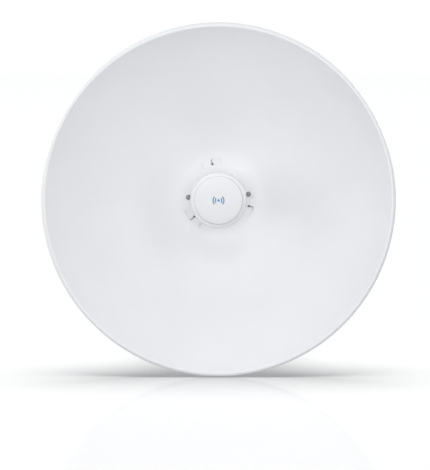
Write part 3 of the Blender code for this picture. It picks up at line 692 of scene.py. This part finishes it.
def hook_shapes(drum):
    """The three bayonet hooks: each stem goes through a narrow slot, and its lip lies on the dish."""
    lip_back = PLATE_FRONT - GAP
    lip_front = lip_back - 0.0018
    for middle in SLOT_ANGLES:
        start = middle + math.radians(2.8)
        after = start + math.radians(0.1)  # off the lip's end face, so that the two join cleanly
        stem = sector(SLOT_NARROW[0] + GAP, SLOT_NARROW[1] - GAP, after, middle + math.radians(14))
        lip = sector(SLOT_WIDE[0] + GAP, SLOT_WIDE[1] - GAP, start, middle + math.radians(16))
        add(drum, prism(stem, lip_back - 0.0009, HOUSING_FRONT + 0.001, "Y"))
        add(drum, prism(lip, lip_front, lip_back, "Y"))


def core_hole(middle):
    """The hole that the mould's core leaves beside a hook's lip: a radial slit with a round inner end."""
    ahead = Vector((math.cos(middle), math.sin(middle)))
    across = Vector((-ahead.y, ahead.x)) * 0.0004
    tip = ahead * 0.0566
    mouth = math.radians(15)
    outline = [tip - across, tip + across]
    outline += arc(EYE_RADIUS, middle + mouth, middle + math.tau - mouth, 24, eye_place(middle))
    return prism(outline, HOUSING_FRONT - 0.002, HOUSING_FRONT + HOUSING_WALL + 0.002, "Y")


def make_lock_screws():
    """Pan-head screws with a cross recess."""
    for side in ("left", "right"):
        node = f"lock_screw_{side}"
        low, high, centre = measured(node)
        seat = PLATE_FRONT - GAP
        edge_centre = (SCREW_HEAD - SCREW_EDGE, low.y + SCREW_EDGE)
        profile = [(0, low.y), *arc(SCREW_EDGE, -QUARTER, 0, 8, edge_centre)]
        profile += [(0.0036, seat), (0.0018, seat), (0.0018, high.y - 0.001), (0.0010, high.y), (0, high.y)]
        shape = turned(profile, SMALL_STEPS)
        bmesh.ops.transform(shape, matrix=ring_about((centre.x, centre.z)), verts=shape.verts)
        screw = linked(f"screw_{side}", shape)
        for reach_x, reach_z in ((0.0019, 0.00045), (0.00045, 0.0019)):
            x = (centre.x - reach_x, centre.x + reach_x)
            z = (centre.z - reach_z, centre.z + reach_z)
            cut(screw, box(x, (low.y - 0.001, low.y + 0.0012), z))
        finished(screw, "dark_steel", "head", node)


# Latch and port cover


def make_button():
    low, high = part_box("release_button")
    middle = (low.y + high.y) / 2
    outside = high.x
    inside = outside - 0.005
    sheet = (middle - 0.0015, middle + 0.0015)
    yoke = rounded(rectangle(-outside, outside, -outside, outside), 0.005, 12)
    button = linked("button", prism(yoke, *sheet, "Y"))
    window = rounded(rectangle(-inside, inside, -inside, inside), 0.002, 8)
    cut(button, prism(window, low.y - 0.002, high.y + 0.002, "Y"))
    stem = rounded(rectangle(-0.008, 0.008, low.y, high.y), 0.0012, 5)
    add(button, prism(stem, 0.0365, high.z, "Z"))
    add(button, box((-0.004, 0.004), (middle - 0.001, middle + 0.001), (-0.0350, -TUBE_RADIUS - 0.0005)))
    ridges = [
        box((x - 0.0005, x + 0.0005), (low.y - 0.001, high.y + 0.001), (high.z - 0.0005, high.z + 0.001))
        for x in (-0.006, -0.004, -0.002, 0, 0.002, 0.004, 0.006)
    ]
    cut(button, joined(ridges))
    finished(button, "grey_plastic", "release_button", "release_button")


def make_spring():
    """The latch's compression spring: a coiled wire with flat end turns."""
    low, high, centre = measured("latch_spring")
    wire = 0.0004
    reach = (high.x - low.x) / 2 - wire
    turns = 7
    per_turn = 24
    closed = 2.3 * wire
    lift = (high.z - low.z - 2 * wire - 2 * closed) / (turns - 2)
    bm = bmesh.new()
    loops = []
    for step in range(turns * per_turn + 1):
        turn = step / per_turn
        z = low.z + wire + closed * (min(turn, 1) + max(turn - turns + 1, 0))
        z += lift * min(max(turn - 1, 0), turns - 2)
        angle = math.tau * turn
        out = Vector((math.cos(angle), math.sin(angle), 0))
        middle = Vector((centre.x, centre.y, z)) + out * reach
        spots = [middle + out * u + Vector((0, 0, v)) for u, v in circle(wire, (0, 0), 8)]
        loops.append([bm.verts.new(spot) for spot in spots])
    spring = finished(linked("spring", capped(bm, loops)), "zinc", "head", "latch_spring")
    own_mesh(spring)


def cover_outline(inset):
    half = cover_high.x - inset
    return rounded(rectangle(-half, half, cover_low.z + inset, cover_high.z - inset), 0.008 - inset, 8)


def make_cover():
    """The port cover: a soft-edged shell with grip ridges at its foot."""
    wall = 0.002
    edge = 0.004
    levels = [(0, cover_low.y)]
    levels += [(edge - x, y) for x, y in arc(edge, 0, QUARTER, 5, (0, cover_high.y - edge))]
    bm = bmesh.new()
    loops = [[bm.verts.new((x, y, z)) for x, z in cover_outline(inset)] for inset, y in levels]
    cover = linked("cover", capped(bm, loops))
    ridges = []
    for index in range(6):
        z = cover_low.z + 0.012 + 0.0030 * index
        ridge = rounded(rectangle(-0.014, 0.014, z - 0.0006, z + 0.0006), 0.0005, 4)
        ridges.append(prism(ridge, cover_high.y - 0.0006, cover_high.y + 0.001, "Y"))
    cut(cover, joined(ridges))
    cut(cover, prism(cover_outline(wall), cover_low.y - 0.002, cover_high.y - wall, "Y"))
    gland = node_centre("cable_gland")
    floor = (cover_low.z - 0.002, cover_low.z + wall + 0.002)
    cut(cover, prism(circle(0.0090, (0, gland.y)), *floor, "Z"))
    finished(cover, "white_plastic", "port_cover", "port_cover")


def make_gland():
    """A rubber grommet with a groove for the cover's wall and a ribbed neck."""
    low, high, centre = measured("cable_gland")
    height = high.z - low.z
    neck = 0.0086
    lip = neck + 0.0010
    bore = 0.0030
    profile = [(bore, 0.0006), (bore + 0.0006, 0), (lip - 0.0008, 0), (lip, 0.0008), (lip, 0.0032)]
    profile += [(neck, 0.0032), (neck, 0.0061), (lip, 0.0061), (neck + 0.0004, height)]
    for index in range(4):
        ring = bore + 0.0042 - 0.0011 * index
        profile += [(ring, height), (ring - 0.0003, height - 0.0004), (ring - 0.0006, height)]
    profile += [(bore, height - 0.0004)]
    shape = aimed(turned(profile, 64), (centre.x, centre.y, low.z), (0, 0, 1))
    finished(linked("grommet", shape), "rubber", "port_cover", "cable_gland")


# Feed


def make_hub():
    """The round hub: a raised face inside a lower ring, with soft edges."""
    skirt = hub_high.y
    wall = 0.002
    edge = 0.0016
    ring_edge = 0.0022
    foot = 0.0006
    ring_y = HUB_FRONT + HUB_STEP
    crown = 0.0005
    profile = [(0, HUB_FRONT)]
    face = HUB_FACE_RADIUS - edge
    profile += [(face * k / 12, HUB_FRONT + crown * (k / 12) ** 4) for k in range(1, 12)]
    profile += arc(edge, -QUARTER, 0, 8, (face, HUB_FRONT + crown + edge))
    profile += arc(foot, math.pi, QUARTER, 4, (HUB_FACE_RADIUS + foot, ring_y - foot))
    profile += arc(ring_edge, -QUARTER, 0, 8, (HUB_RADIUS - ring_edge, ring_y + ring_edge))
    profile += [(HUB_RADIUS, skirt - 0.0006), (HUB_RADIUS - 0.0006, skirt), (HUB_RADIUS - wall, skirt)]
    profile += [(HUB_RADIUS - wall, ring_y + wall + 0.001), (HUB_FACE_RADIUS - wall, ring_y + wall)]
    profile += [(HUB_FACE_RADIUS - wall, HUB_FRONT + wall + crown), (0, HUB_FRONT + wall)]
    hub = linked("hub", turned(profile, 192))
    return finished(hub, "hub_plastic", "feed", "feed_front_cover")


def make_mark():
    """A plain mark in place of a maker's: a dot between two pairs of waves."""
    proud = HUB_FRONT - 0.00012
    root = HUB_FRONT + 0.0004
    half_stroke = 0.0008
    shapes = [prism(circle(0.0018, (0, 0), 32), proud, root, "Y")]
    for side in (0, math.pi):
        for radius in (0.0048, 0.0080):
            span = (side - math.radians(44), side + math.radians(44))
            wave = sector(radius - half_stroke, radius + half_stroke, *span, 20)
            shapes.append(prism(wave, proud, root, "Y"))
    mark = linked("mark", joined(shapes))
    finished(mark, "hub_plastic", "feed", look=printed_mark())


def make_column():
    """The feed's tube, with a flared front, a soft shoulder down to its neck and a notch for the latch."""
    flange = tube_high.x
    flange_y = tube_low.y
    inner = TUBE_NECK - TUBE_WALL
    profile = [(TUBE_RADIUS - 0.0008, FEED_BACK), (TUBE_RADIUS, FEED_BACK - 0.0008)]
    profile += [(TUBE_RADIUS, PLATE_FRONT - 0.010)]
    for turn in (0.6, 1.2, 1.8, 2.4):
        radius = TUBE_RADIUS - 0.001 + 0.001 * math.cos(turn)
        profile.append((radius, PLATE_FRONT - 0.015 + 0.005 * math.cos(turn)))
    profile += [(TUBE_NECK, PLATE_FRONT - 0.021), (TUBE_NECK, flange_y + 0.024)]
    swell = flange - 0.0008 - TUBE_NECK
    for step in range(1, 13):
        turn = QUARTER * step / 12
        radius = TUBE_NECK + swell * (1 - math.cos(turn))
        profile.append((radius, flange_y + 0.024 - 0.0215 * math.sin(turn) ** 0.9))
    profile += [(flange, flange_y + 0.0018), (flange, flange_y)]
    profile += [(inner + 0.006, flange_y), (inner, flange_y + 0.012), (inner, PLATE_FRONT - 0.020)]
    profile += [(TUBE_RADIUS - TUBE_WALL, PLATE_FRONT - 0.010), (TUBE_RADIUS - TUBE_WALL, FEED_BACK)]
    column = linked("column", turned(profile))
    latch = node_centre("release_button").y
    cut(column, box((-0.005, 0.005), (latch - 0.002, latch + 0.002), (-0.034, -TUBE_RADIUS + 0.0012)))
    finished(column, "white_plastic", "feed", "feed_tube")


# Brackets


def arc_slot(radius, centre, half_angle, half_width):
    """A slot along an arc above its centre, with round ends."""
    start = QUARTER - half_angle
    end = QUARTER + half_angle
    ends = arc(radius, start, end, 1, centre)
    outline = arc(radius + half_width, start, end, 24, centre)
    outline += arc(half_width, end, end + math.pi, 12, ends[1])[1:-1]
    outline += arc(radius - half_width, end, start, 24, centre)
    outline += arc(half_width, start + math.pi, start + math.tau, 12, ends[0])[1:-1]
    return outline


def channel(half, depth, sheet, bend):
    """The section of a bent channel with its web on the low side of the second axis."""
    inner = bend - sheet
    outside = arc(bend, math.pi, 1.5 * math.pi, 8, (-half + bend, bend))
    outside += arc(bend, 1.5 * math.pi, math.tau, 8, (half - bend, bend))
    inside = arc(inner, 0, -QUARTER, 8, (half - bend, bend))
    inside += arc(inner, -QUARTER, -math.pi, 8, (-half + bend, bend))
    tips = [(half, depth), (half - sheet, depth)]
    return outside + tips + inside + [(-half + sheet, depth), (-half, depth)]


def make_tilt_bracket():
    """A bent channel; its cheeks are cut to lobes round the pivot and the locking bolt."""
    pivot = (PIVOT_Y, PIVOT_Z)
    lock = (PIVOT_Y, PIVOT_Z + LOCK_ARM)
    depth = tilt_high.y - tilt_low.y
    section = [(x, tilt_low.y + y) for x, y in channel(tilt_high.x, depth, BRACKET_SHEET, 0.0048)]
    bracket = linked("tilt_channel", prism(section, tilt_low.z, tilt_high.z, "Z"))
    back = tilt_low.y + BRACKET_SHEET
    side = [(tilt_low.y - 0.002, tilt_low.z - 0.002), (back + 0.003, tilt_low.z - 0.002)]
    side += [(back + 0.003, tilt_low.z), (PIVOT_Y - 0.008, tilt_low.z)]
    side += arc(0.011, -QUARTER, 0, 16, pivot)
    side += arc(0.009, 0, QUARTER, 16, lock)
    side += [(PIVOT_Y - 0.012, tilt_high.z), (tilt_low.y - 0.002, tilt_high.z + 0.002)]
    combine(bracket, prism(side, -0.03, 0.03, "X"), "INTERSECT")
    across = (-0.03, 0.03)
    holes = [prism(circle(M6_HOLE, place), *across, "X") for place in (pivot, lock)]
    for index in range(1, 5):
        centre = node_centre(f"bracket_bolt_{index}")
        holes.append(prism(circle(M6_HOLE, (centre.x, centre.z)), tilt_low.y - 0.002, back + 0.002, "Y"))
    cut(bracket, joined(holes))
    soften(bracket, 0.0004, 2)
    finished(bracket, "galvanised", "head", "tilt_bracket")


def clamp_holes():
    """The holes for the two clamp bolts, through everything on their way."""
    places = [(node_centre(f"clamp_bolt_{word}").x, CLAMP_Z) for word in ("left", "right")]
    return joined([prism(circle(M8_HOLE, place), -0.1, 0.1, "Y") for place in places])


def make_pole_bracket():
    """Two cheeks with arc slots, welded to a wide web."""
    pivot = (PIVOT_Y, PIVOT_Z)
    web_back = pole_high.y
    web_front = web_back - BRACKET_SHEET
    out = 0.021
    top = pole_high.z
    cheek = [(web_back - 0.001, 0.0008), (web_back - 0.001, top - 0.0008), (PIVOT_Y - 0.010, top)]
    cheek += arc(0.006, QUARTER, math.pi, 10, (PIVOT_Y - 0.010, top - 0.006))
    cheek += arc(0.014, math.pi, 1.5 * math.pi, 20, pivot)
    web = rounded(rectangle(-pole_high.x, pole_high.x, 0.0, top), 0.008, 10)
    bracket = linked("pole_bracket_plate", prism(web, web_front, web_back, "Y"))
    slot_half = TILT_LIMIT + math.radians(1)
    for side in (-1, 1):
        span = sorted((side * out, side * (out - BRACKET_SHEET)))
        plate = linked("cheek", prism(cheek, *span, "X"))
        cut(plate, prism(arc_slot(LOCK_ARM, pivot, slot_half, M6_HOLE), -0.03, 0.03, "X"))
        cut(plate, prism(circle(M6_HOLE, pivot), -0.03, 0.03, "X"))
        shape = bmesh.new()
        shape.from_mesh(plate.data)
        bpy.data.objects.remove(plate)
        add(bracket, shape)
        leg = 0.0022
        for x, direction in ((side * out, side), (side * (out - BRACKET_SHEET), -side)):
            root = x - direction * 0.0004
            bead = [(root, web_front + 0.0004), (x + direction * leg, web_front + 0.0004)]
            bead += [(x + direction * leg * 0.5, web_front - leg * 0.62), (root, web_front - leg)]
            add(bracket, prism(bead, 0.003, top - 0.003, "Z"))
    cut(bracket, clamp_holes())
    finished(bracket, "galvanised", "pole_mount", "pole_bracket")


def toothed_v(mouth_y, flange_half, base_y):
    """Half of a jaw flange's outline ends in a V with saw teeth that bite the pole."""
    pitch = 0.0030
    tooth = 0.0009
    length = V_HALF_MOUTH / math.sin(V_HALF_ANGLE)
    count = int(length / pitch)
    run = Vector((math.sin(V_HALF_ANGLE), -math.cos(V_HALF_ANGLE)))
    into = Vector((run.y, -run.x))
    points = []
    for index in range(count):
        for along, depth in ((0.0, 0.0), (0.5, tooth)):
            spot = Vector((-V_HALF_MOUTH, 0)) + run * (index + along) * length / count
            points.append(spot + into * depth)
    left = [(point.x, mouth_y - point.y) for point in points]
    right = [(-x, y) for x, y in reversed(left)]
    start = [(-flange_half, base_y), (-flange_half, mouth_y)]
    return [*start, *left, (0, V_APEX), *right, (flange_half, mouth_y), (flange_half, base_y)]


def make_jaw(node, side, body):
    """A pressed channel: web, two flanges with a toothed V for the pole, and bend radii."""
    low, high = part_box(node)
    back = max(abs(low.y), abs(high.y))
    web_in = back - JAW_SHEET
    mouth = min(abs(low.y), abs(high.y))
    web = rounded(rectangle(low.x, high.x, low.z, high.z), 0.006, 8)
    jaw = linked(f"{node}_channel", prism(web, *sorted((side * web_in, side * back)), "Y"))
    outline = [(x, side * y) for x, y in toothed_v(mouth, 0.034, web_in + 0.001)]
    for level in (low.z, high.z - JAW_SHEET):
        add(jaw, prism(outline, level, level + JAW_SHEET, "Z"))
    bend = 0.0025
    for z, direction in ((low.z + JAW_SHEET, 1), (high.z - JAW_SHEET, -1)):
        fillet = [(side * (web_in + 0.0005), z - direction * 0.0005)]
        fillet += [(side * (web_in + 0.0005), z + direction * bend)]
        curve = arc(bend, 0, -QUARTER, 5, (web_in - bend, bend))
        fillet += [(side * y, z + direction * height) for y, height in curve]
        fillet.append((side * (web_in - bend), z - direction * 0.0005))
        add(jaw, prism(fillet, -0.0335, 0.0335, "X"))
    cut(jaw, clamp_holes())
    emboss = rounded(rectangle(-0.026, 0.026, CLAMP_Z - 0.006, CLAMP_Z + 0.006), 0.0055, 8)
    cut(jaw, prism(emboss, *sorted((side * (back - 0.0008), side * (back + 0.001))), "Y"))
    soften(jaw, 0.0003, 1, 50)
    finished(jaw, "galvanised", body, node)


# Bolts and nuts


def thread(radius, start, end, pitch, steps=32):
    """Rings of a screw thread along Y, as (y, radius at each step) rows."""
    rows = []
    per_turn = 6
    count = max(2, round((end - start) / pitch * per_turn))
    depth = 0.54 * pitch
    for index in range(count + 1):
        y = start + (end - start) * index / count
        fade = min(1.0, index / per_turn, (count - index) / per_turn)
        ring = []
        for step in range(steps):
            phase = (index / per_turn - step / steps) % 1.0
            ring.append(radius - depth * fade * (1 - abs(2 * phase - 1)))
        rows.append((y, ring))
    return rows


def rod(rows, ends):
    """A solid of stacked rings about Y, closed by a point at each end's y."""
    bm = bmesh.new()
    loops = ring_loops(bm, rows)
    bridge(bm, loops)
    for loop, y in ((loops[0], ends[0]), (loops[-1], ends[1])):
        tip = bm.verts.new((0, y, 0))
        for step in range(len(loop)):
            bm.faces.new((loop[step - 1], loop[step], tip))
    return outward(bm)


def hexagon_ring(flats, steps, limit=None):
    """Radii of a hexagon; a limit rounds its corners as a chamfer does."""
    radii = []
    for step in range(steps):
        angle = math.tau * step / steps
        reach = flats / 2 / math.cos((angle + math.pi / 6) % (math.pi / 3) - math.pi / 6)
        radii.append(min(reach, limit) if limit else reach)
    return radii


def hexagon_rings(flats, steps):
    """Radii of a hexagon head's full section, its chamfer and its end."""
    corner = flats / 2 / math.cos(math.pi / 6)
    chamfered = hexagon_ring(flats, steps, corner * HEX_CHAMFER)
    return hexagon_ring(flats, steps), chamfered, [flats * 0.46] * steps


def flange_bolt(flange, length):
    """A chamfered M6 hexagon flange bolt: its head towards -Y, the underside of its flange at y = 0."""
    steps = 48
    radius = M6
    head = M6_HEAD
    full, chamfered, end = hexagon_rings(M6_FLATS, steps)
    rows = [(-head, end), (-head + 0.0004, chamfered), (-head + 0.0009, full), (-0.0014, full)]
    rows += [(-0.0010, [flange * 0.93] * steps), (-0.0006, [flange] * steps), (0, [flange] * steps)]
    rows += [(0, [radius] * steps), (0.0015, [radius] * steps)]
    rows += thread(radius, 0.0016, length - 0.0008, M6_PITCH, steps)
    rows += [(length, [radius - 0.0007] * steps)]
    return rod(rows, (-head + 0.0002, length))


def flange_nut(radius, flats, flange, height):
    """A chamfered hexagon flange nut with a serrated flange at y = 0, its body towards +Y."""
    steps = 96
    full, chamfered, end = hexagon_rings(flats, steps)
    bore = radius + 0.00015
    serrated = [flange - 0.00025 * (step % 4 in (1, 2)) for step in range(steps)]
    rows = [(0.0005, [bore] * steps), (0, [bore + 0.0005] * steps), (0, serrated), (0.0008, serrated)]
    rows += [(0.0014, full), (height - 0.0009, full), (height - 0.0004, chamfered), (height, end)]
    rows += [(height, [bore + 0.0005] * steps), (height - 0.0005, [bore] * steps)]
    bm = bmesh.new()
    loops = ring_loops(bm, rows)
    bridge(bm, loops + loops[:1])
    return outward(bm)


def carriage_bolt(radius, length):
    """A domed bolt with a plain round neck and a long thread: the underside of its head at y = 0."""
    steps = 48
    dome = CARRIAGE_HEAD
    rows = []
    for step in range(1, 11):
        angle = QUARTER * step / 10
        rows.append((-dome * math.cos(angle), [0.0090 * math.sin(angle)] * steps))
    rows += [(0, [0.0042] * steps), (0.003, [0.0042] * steps), (0.0036, [radius - 0.0002] * steps)]
    rows += [(length * 0.42, [radius - 0.0002] * steps)]
    rows += thread(radius, length * 0.42 + 0.0005, length - 0.0008, M8_PITCH, steps)
    rows += [(length, [radius - 0.0008] * steps)]
    return rod(rows, (-dome, length))


def place_bolt(node, shape, origin, direction, body):
    bolt = linked(f"{node}_fine", aimed(shape, origin, direction))
    finished(bolt, "zinc", body, node, sharp=40)


def make_fasteners():
    for index in range(1, 5):
        node = f"bracket_bolt_{index}"
        low, high, centre = measured(node)
        flange = (high.x - low.x) / 2
        seat = high.y - M6_HEAD
        shape = flange_bolt(flange, seat - low.y)
        place_bolt(node, shape, (centre.x, seat, centre.z), (0, -1, 0), "head")
    for side, word in ((-1, "left"), (1, "right")):
        for kind in ("pivot", "tilt_lock"):
            node = f"{kind}_bolt_{word}"
            low, high, centre = measured(node)
            outer = max(abs(low.x), abs(high.x))
            inner = min(abs(low.x), abs(high.x))
            shape = flange_bolt((high.z - low.z) / 2, outer - M6_HEAD - inner)
            place_bolt(node, shape, (side * (outer - M6_HEAD), centre.y, centre.z), (-side, 0, 0), "head")
            node = f"{kind}_nut_{word}"
            low, high, centre = measured(node)
            outer = max(abs(low.x), abs(high.x))
            shape = flange_nut(M6, M6_FLATS, (high.z - low.z) / 2, high.x - low.x)
            place_bolt(node, shape, (side * outer, centre.y, centre.z), (-side, 0, 0), "head")
        node = f"clamp_bolt_{word}"
        low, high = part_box(node)
        seat = low.y + CARRIAGE_HEAD
        shape = carriage_bolt(M8, high.y - seat)
        place_bolt(node, shape, (node_centre(node).x, seat, CLAMP_Z), (0, 1, 0), "pole_mount")
        node = f"clamp_nut_{word}"
        low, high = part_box(node)
        shape = flange_nut(M8, M8_FLATS, (high.x - low.x) / 2, high.y - low.y)
        place_bolt(node, shape, (node_centre(node).x, low.y, CLAMP_Z), (0, 1, 0), "rear_clamp")


# Small details inside


def make_contacts():
    """The eight spring contacts in the network jack."""
    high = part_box("ethernet_jack")[1]
    pitch = 0.00102
    along = (high.y - 0.0115, high.y - 0.0015)
    level = (high.z - 0.0036, high.z - 0.0030)
    wires = []
    for index in range(8):
        x = (index - 3.5) * pitch
        wires.append(box((x - 0.0002, x + 0.0002), along, level))
    contacts = linked("jack_contacts", joined(wires))
    finished(contacts, "tin_plate", "feed", look=gold_plate())


# Studio

AMBIENT = 0.43
SEEN_WHITE = 1.03
FLOOR_SHADE = 0.65
SUN_STRENGTH = 3.7
SUN_ANGLE = math.radians(46)
MIRROR = 0.17
LENS_SHIFT = (-0.00745, -0.07319)  # of the view's height
SOFTBOXES = [
    # name, place, size, watts
    ("overhead_box", (0.0, -0.6, 2.3), (2.2, 1.4), 11),
    ("left_side", (-2.3, -1.3, 0.35), (0.8, 1.4), 5.4),
    ("left_rim", (-2.6, 0.0, 0.6), (0.6, 1.2), 10),
    ("right_side", (1.8, -2.3, 0.35), (0.8, 1.4), 5.0),
    ("upper_right", (1.6, -2.2, 1.5), (1.0, 1.0), 5.0),
    ("lower_left", (-1.8, -1.8, -0.1), (1.0, 0.3), 2.5),
    ("front", (0.0, -4.0, 0.3), (2.0, 1.0), 35.5),
    ("front_top", (0.0, -3.2, 1.7), (0.8, 0.8), 9),
    ("front_left", (-1.5, -3.0, 0.2), (0.7, 0.7), 3.2),
    ("back_left", (-2.2, 1.8, 1.0), (1.2, 1.2), 22),
    ("back_right", (1.8, 2.4, 0.8), (1.2, 1.2), 20),
    ("floor_bounce", (0.0, -0.6, -0.8), (0.6, 0.4), 0.45),
]


def lamp(name, kind, place, target, listed, only):
    """A light aimed at the target. It lights the listed object only, or passes through it to all others."""
    data = bpy.data.lights.new(name, kind)
    obj = bpy.data.objects.new(name, data)
    obj.location = place
    obj.rotation_euler = (Vector(target) - Vector(place)).to_track_quat("-Z", "Y").to_euler()
    bpy.context.scene.collection.objects.link(obj)
    receivers = bpy.data.collections.new(f"{name}_receivers")
    receivers.objects.link(listed)
    receivers.collection_objects[0].light_linking.link_state = "INCLUDE" if only else "EXCLUDE"
    obj.light_linking.receiver_collection = receivers
    if not only:
        obj.light_linking.blocker_collection = receivers
    return data


def softbox(name, place, target, size, watts, listed, only):
    data = lamp(name, "AREA", place, target, listed, only)
    data.shape = "RECTANGLE"
    data.size, data.size_y = size
    data.energy = watts


def make_lights(floor, hub):
    """Soft boxes on the object, one more on the hub, and a wide overhead light on the floor alone."""
    for name, place, size, watts in SOFTBOXES:
        softbox(name, place, (0, PLATE_FRONT, 0), size, watts, floor, only=False)
    softbox("hub_key", (-1.5, -1.4, 1.5), (0, HUB_FRONT, 0), (0.5, 0.5), 10, hub, only=True)
    overhead = lamp("overhead", "SUN", (0, 0.03, 1), (0, 0, 0), floor, only=True)
    overhead.angle = SUN_ANGLE
    overhead.energy = SUN_STRENGTH


def make_floor():
    """A polished white floor that the rim stands on: mostly matt, with a faint mirror image."""
    bm = bmesh.new()
    half = 400
    for x, y in ((-half, -half), (half, -half), (half, half), (-half, half)):
        bm.verts.new((x, y, dish_low.z - 0.0005))
    bm.faces.new(bm.verts)
    floor = linked("floor", bm)
    white = (FLOOR_SHADE, FLOOR_SHADE, FLOOR_SHADE, 1)
    matt = Look("floor", 0.9, Base_Color=white, Specular_IOR_Level=0.0)
    mirror = matt.nodes.new("ShaderNodeBsdfGlossy")
    mirror.inputs["Roughness"].default_value = 0.06
    mix = matt.node("MixShader", matt.shader.outputs["BSDF"], 1, Fac=MIRROR)
    matt.link(mirror.outputs["BSDF"], mix.inputs[2])
    matt.link(mix.outputs["Shader"], matt.nodes["Material Output"].inputs["Surface"])
    floor.data.materials.append(matt.material)
    floor.visible_diffuse = False
    return floor


def make_world():
    """White where the camera or a mirror sees it, and a dimmer, cooler surround to matt surfaces."""
    scene = bpy.context.scene
    scene.view_settings.view_transform = "Standard"
    scene.view_settings.look = "None"
    world = bpy.data.worlds.new("studio")
    world.use_nodes = True
    scene.world = world
    nodes = world.node_tree.nodes
    links = world.node_tree.links
    ambient = nodes["Background"]
    ambient.inputs["Color"].default_value = (0.965, 0.98, 1.0, 1)
    ambient.inputs["Strength"].default_value = AMBIENT
    seen = nodes.new("ShaderNodeBackground")
    seen.inputs["Color"].default_value = (1, 1, 1, 1)
    seen.inputs["Strength"].default_value = SEEN_WHITE
    path = nodes.new("ShaderNodeLightPath")
    either = nodes.new("ShaderNodeMath")
    either.operation = "MAXIMUM"
    mix = nodes.new("ShaderNodeMixShader")
    links.new(path.outputs["Is Camera Ray"], either.inputs[0])
    links.new(path.outputs["Is Glossy Ray"], either.inputs[1])
    links.new(either.outputs["Value"], mix.inputs["Fac"])
    links.new(ambient.outputs["Background"], mix.inputs[1])
    links.new(seen.outputs["Background"], mix.inputs[2])
    links.new(mix.outputs["Shader"], nodes["World Output"].inputs["Surface"])


def make_camera():
    """Level with the dish's axis but a little above it, a few metres away."""
    distance = 3.0
    elevation = math.radians(3.6)
    height = 0.6868  # of the view at the rim's plane
    sensor = 36.0
    target = Vector((0, dish_low.y, 0))
    data = bpy.data.cameras.new("camera")
    data.sensor_width = sensor
    data.lens = sensor * distance / height
    data.shift_x, data.shift_y = LENS_SHIFT
    camera = bpy.data.objects.new("camera", data)
    camera.location = target + distance * Vector((0, -math.cos(elevation), math.sin(elevation)))
    camera.rotation_euler = (target - camera.location).to_track_quat("-Z", "Y").to_euler()
    bpy.context.scene.collection.objects.link(camera)
    bpy.context.scene.camera = camera


make_camera()
make_world()
dress_frame()
make_dish()
make_drum()
make_lock_screws()
make_button()
make_spring()
make_cover()
make_gland()
make_lights(make_floor(), make_hub())
make_mark()
make_column()
make_tilt_bracket()
make_pole_bracket()
make_jaw("front_jaw", -1, "pole_mount")
make_jaw("rear_jaw", 1, "rear_clamp")
make_fasteners()
make_contacts()
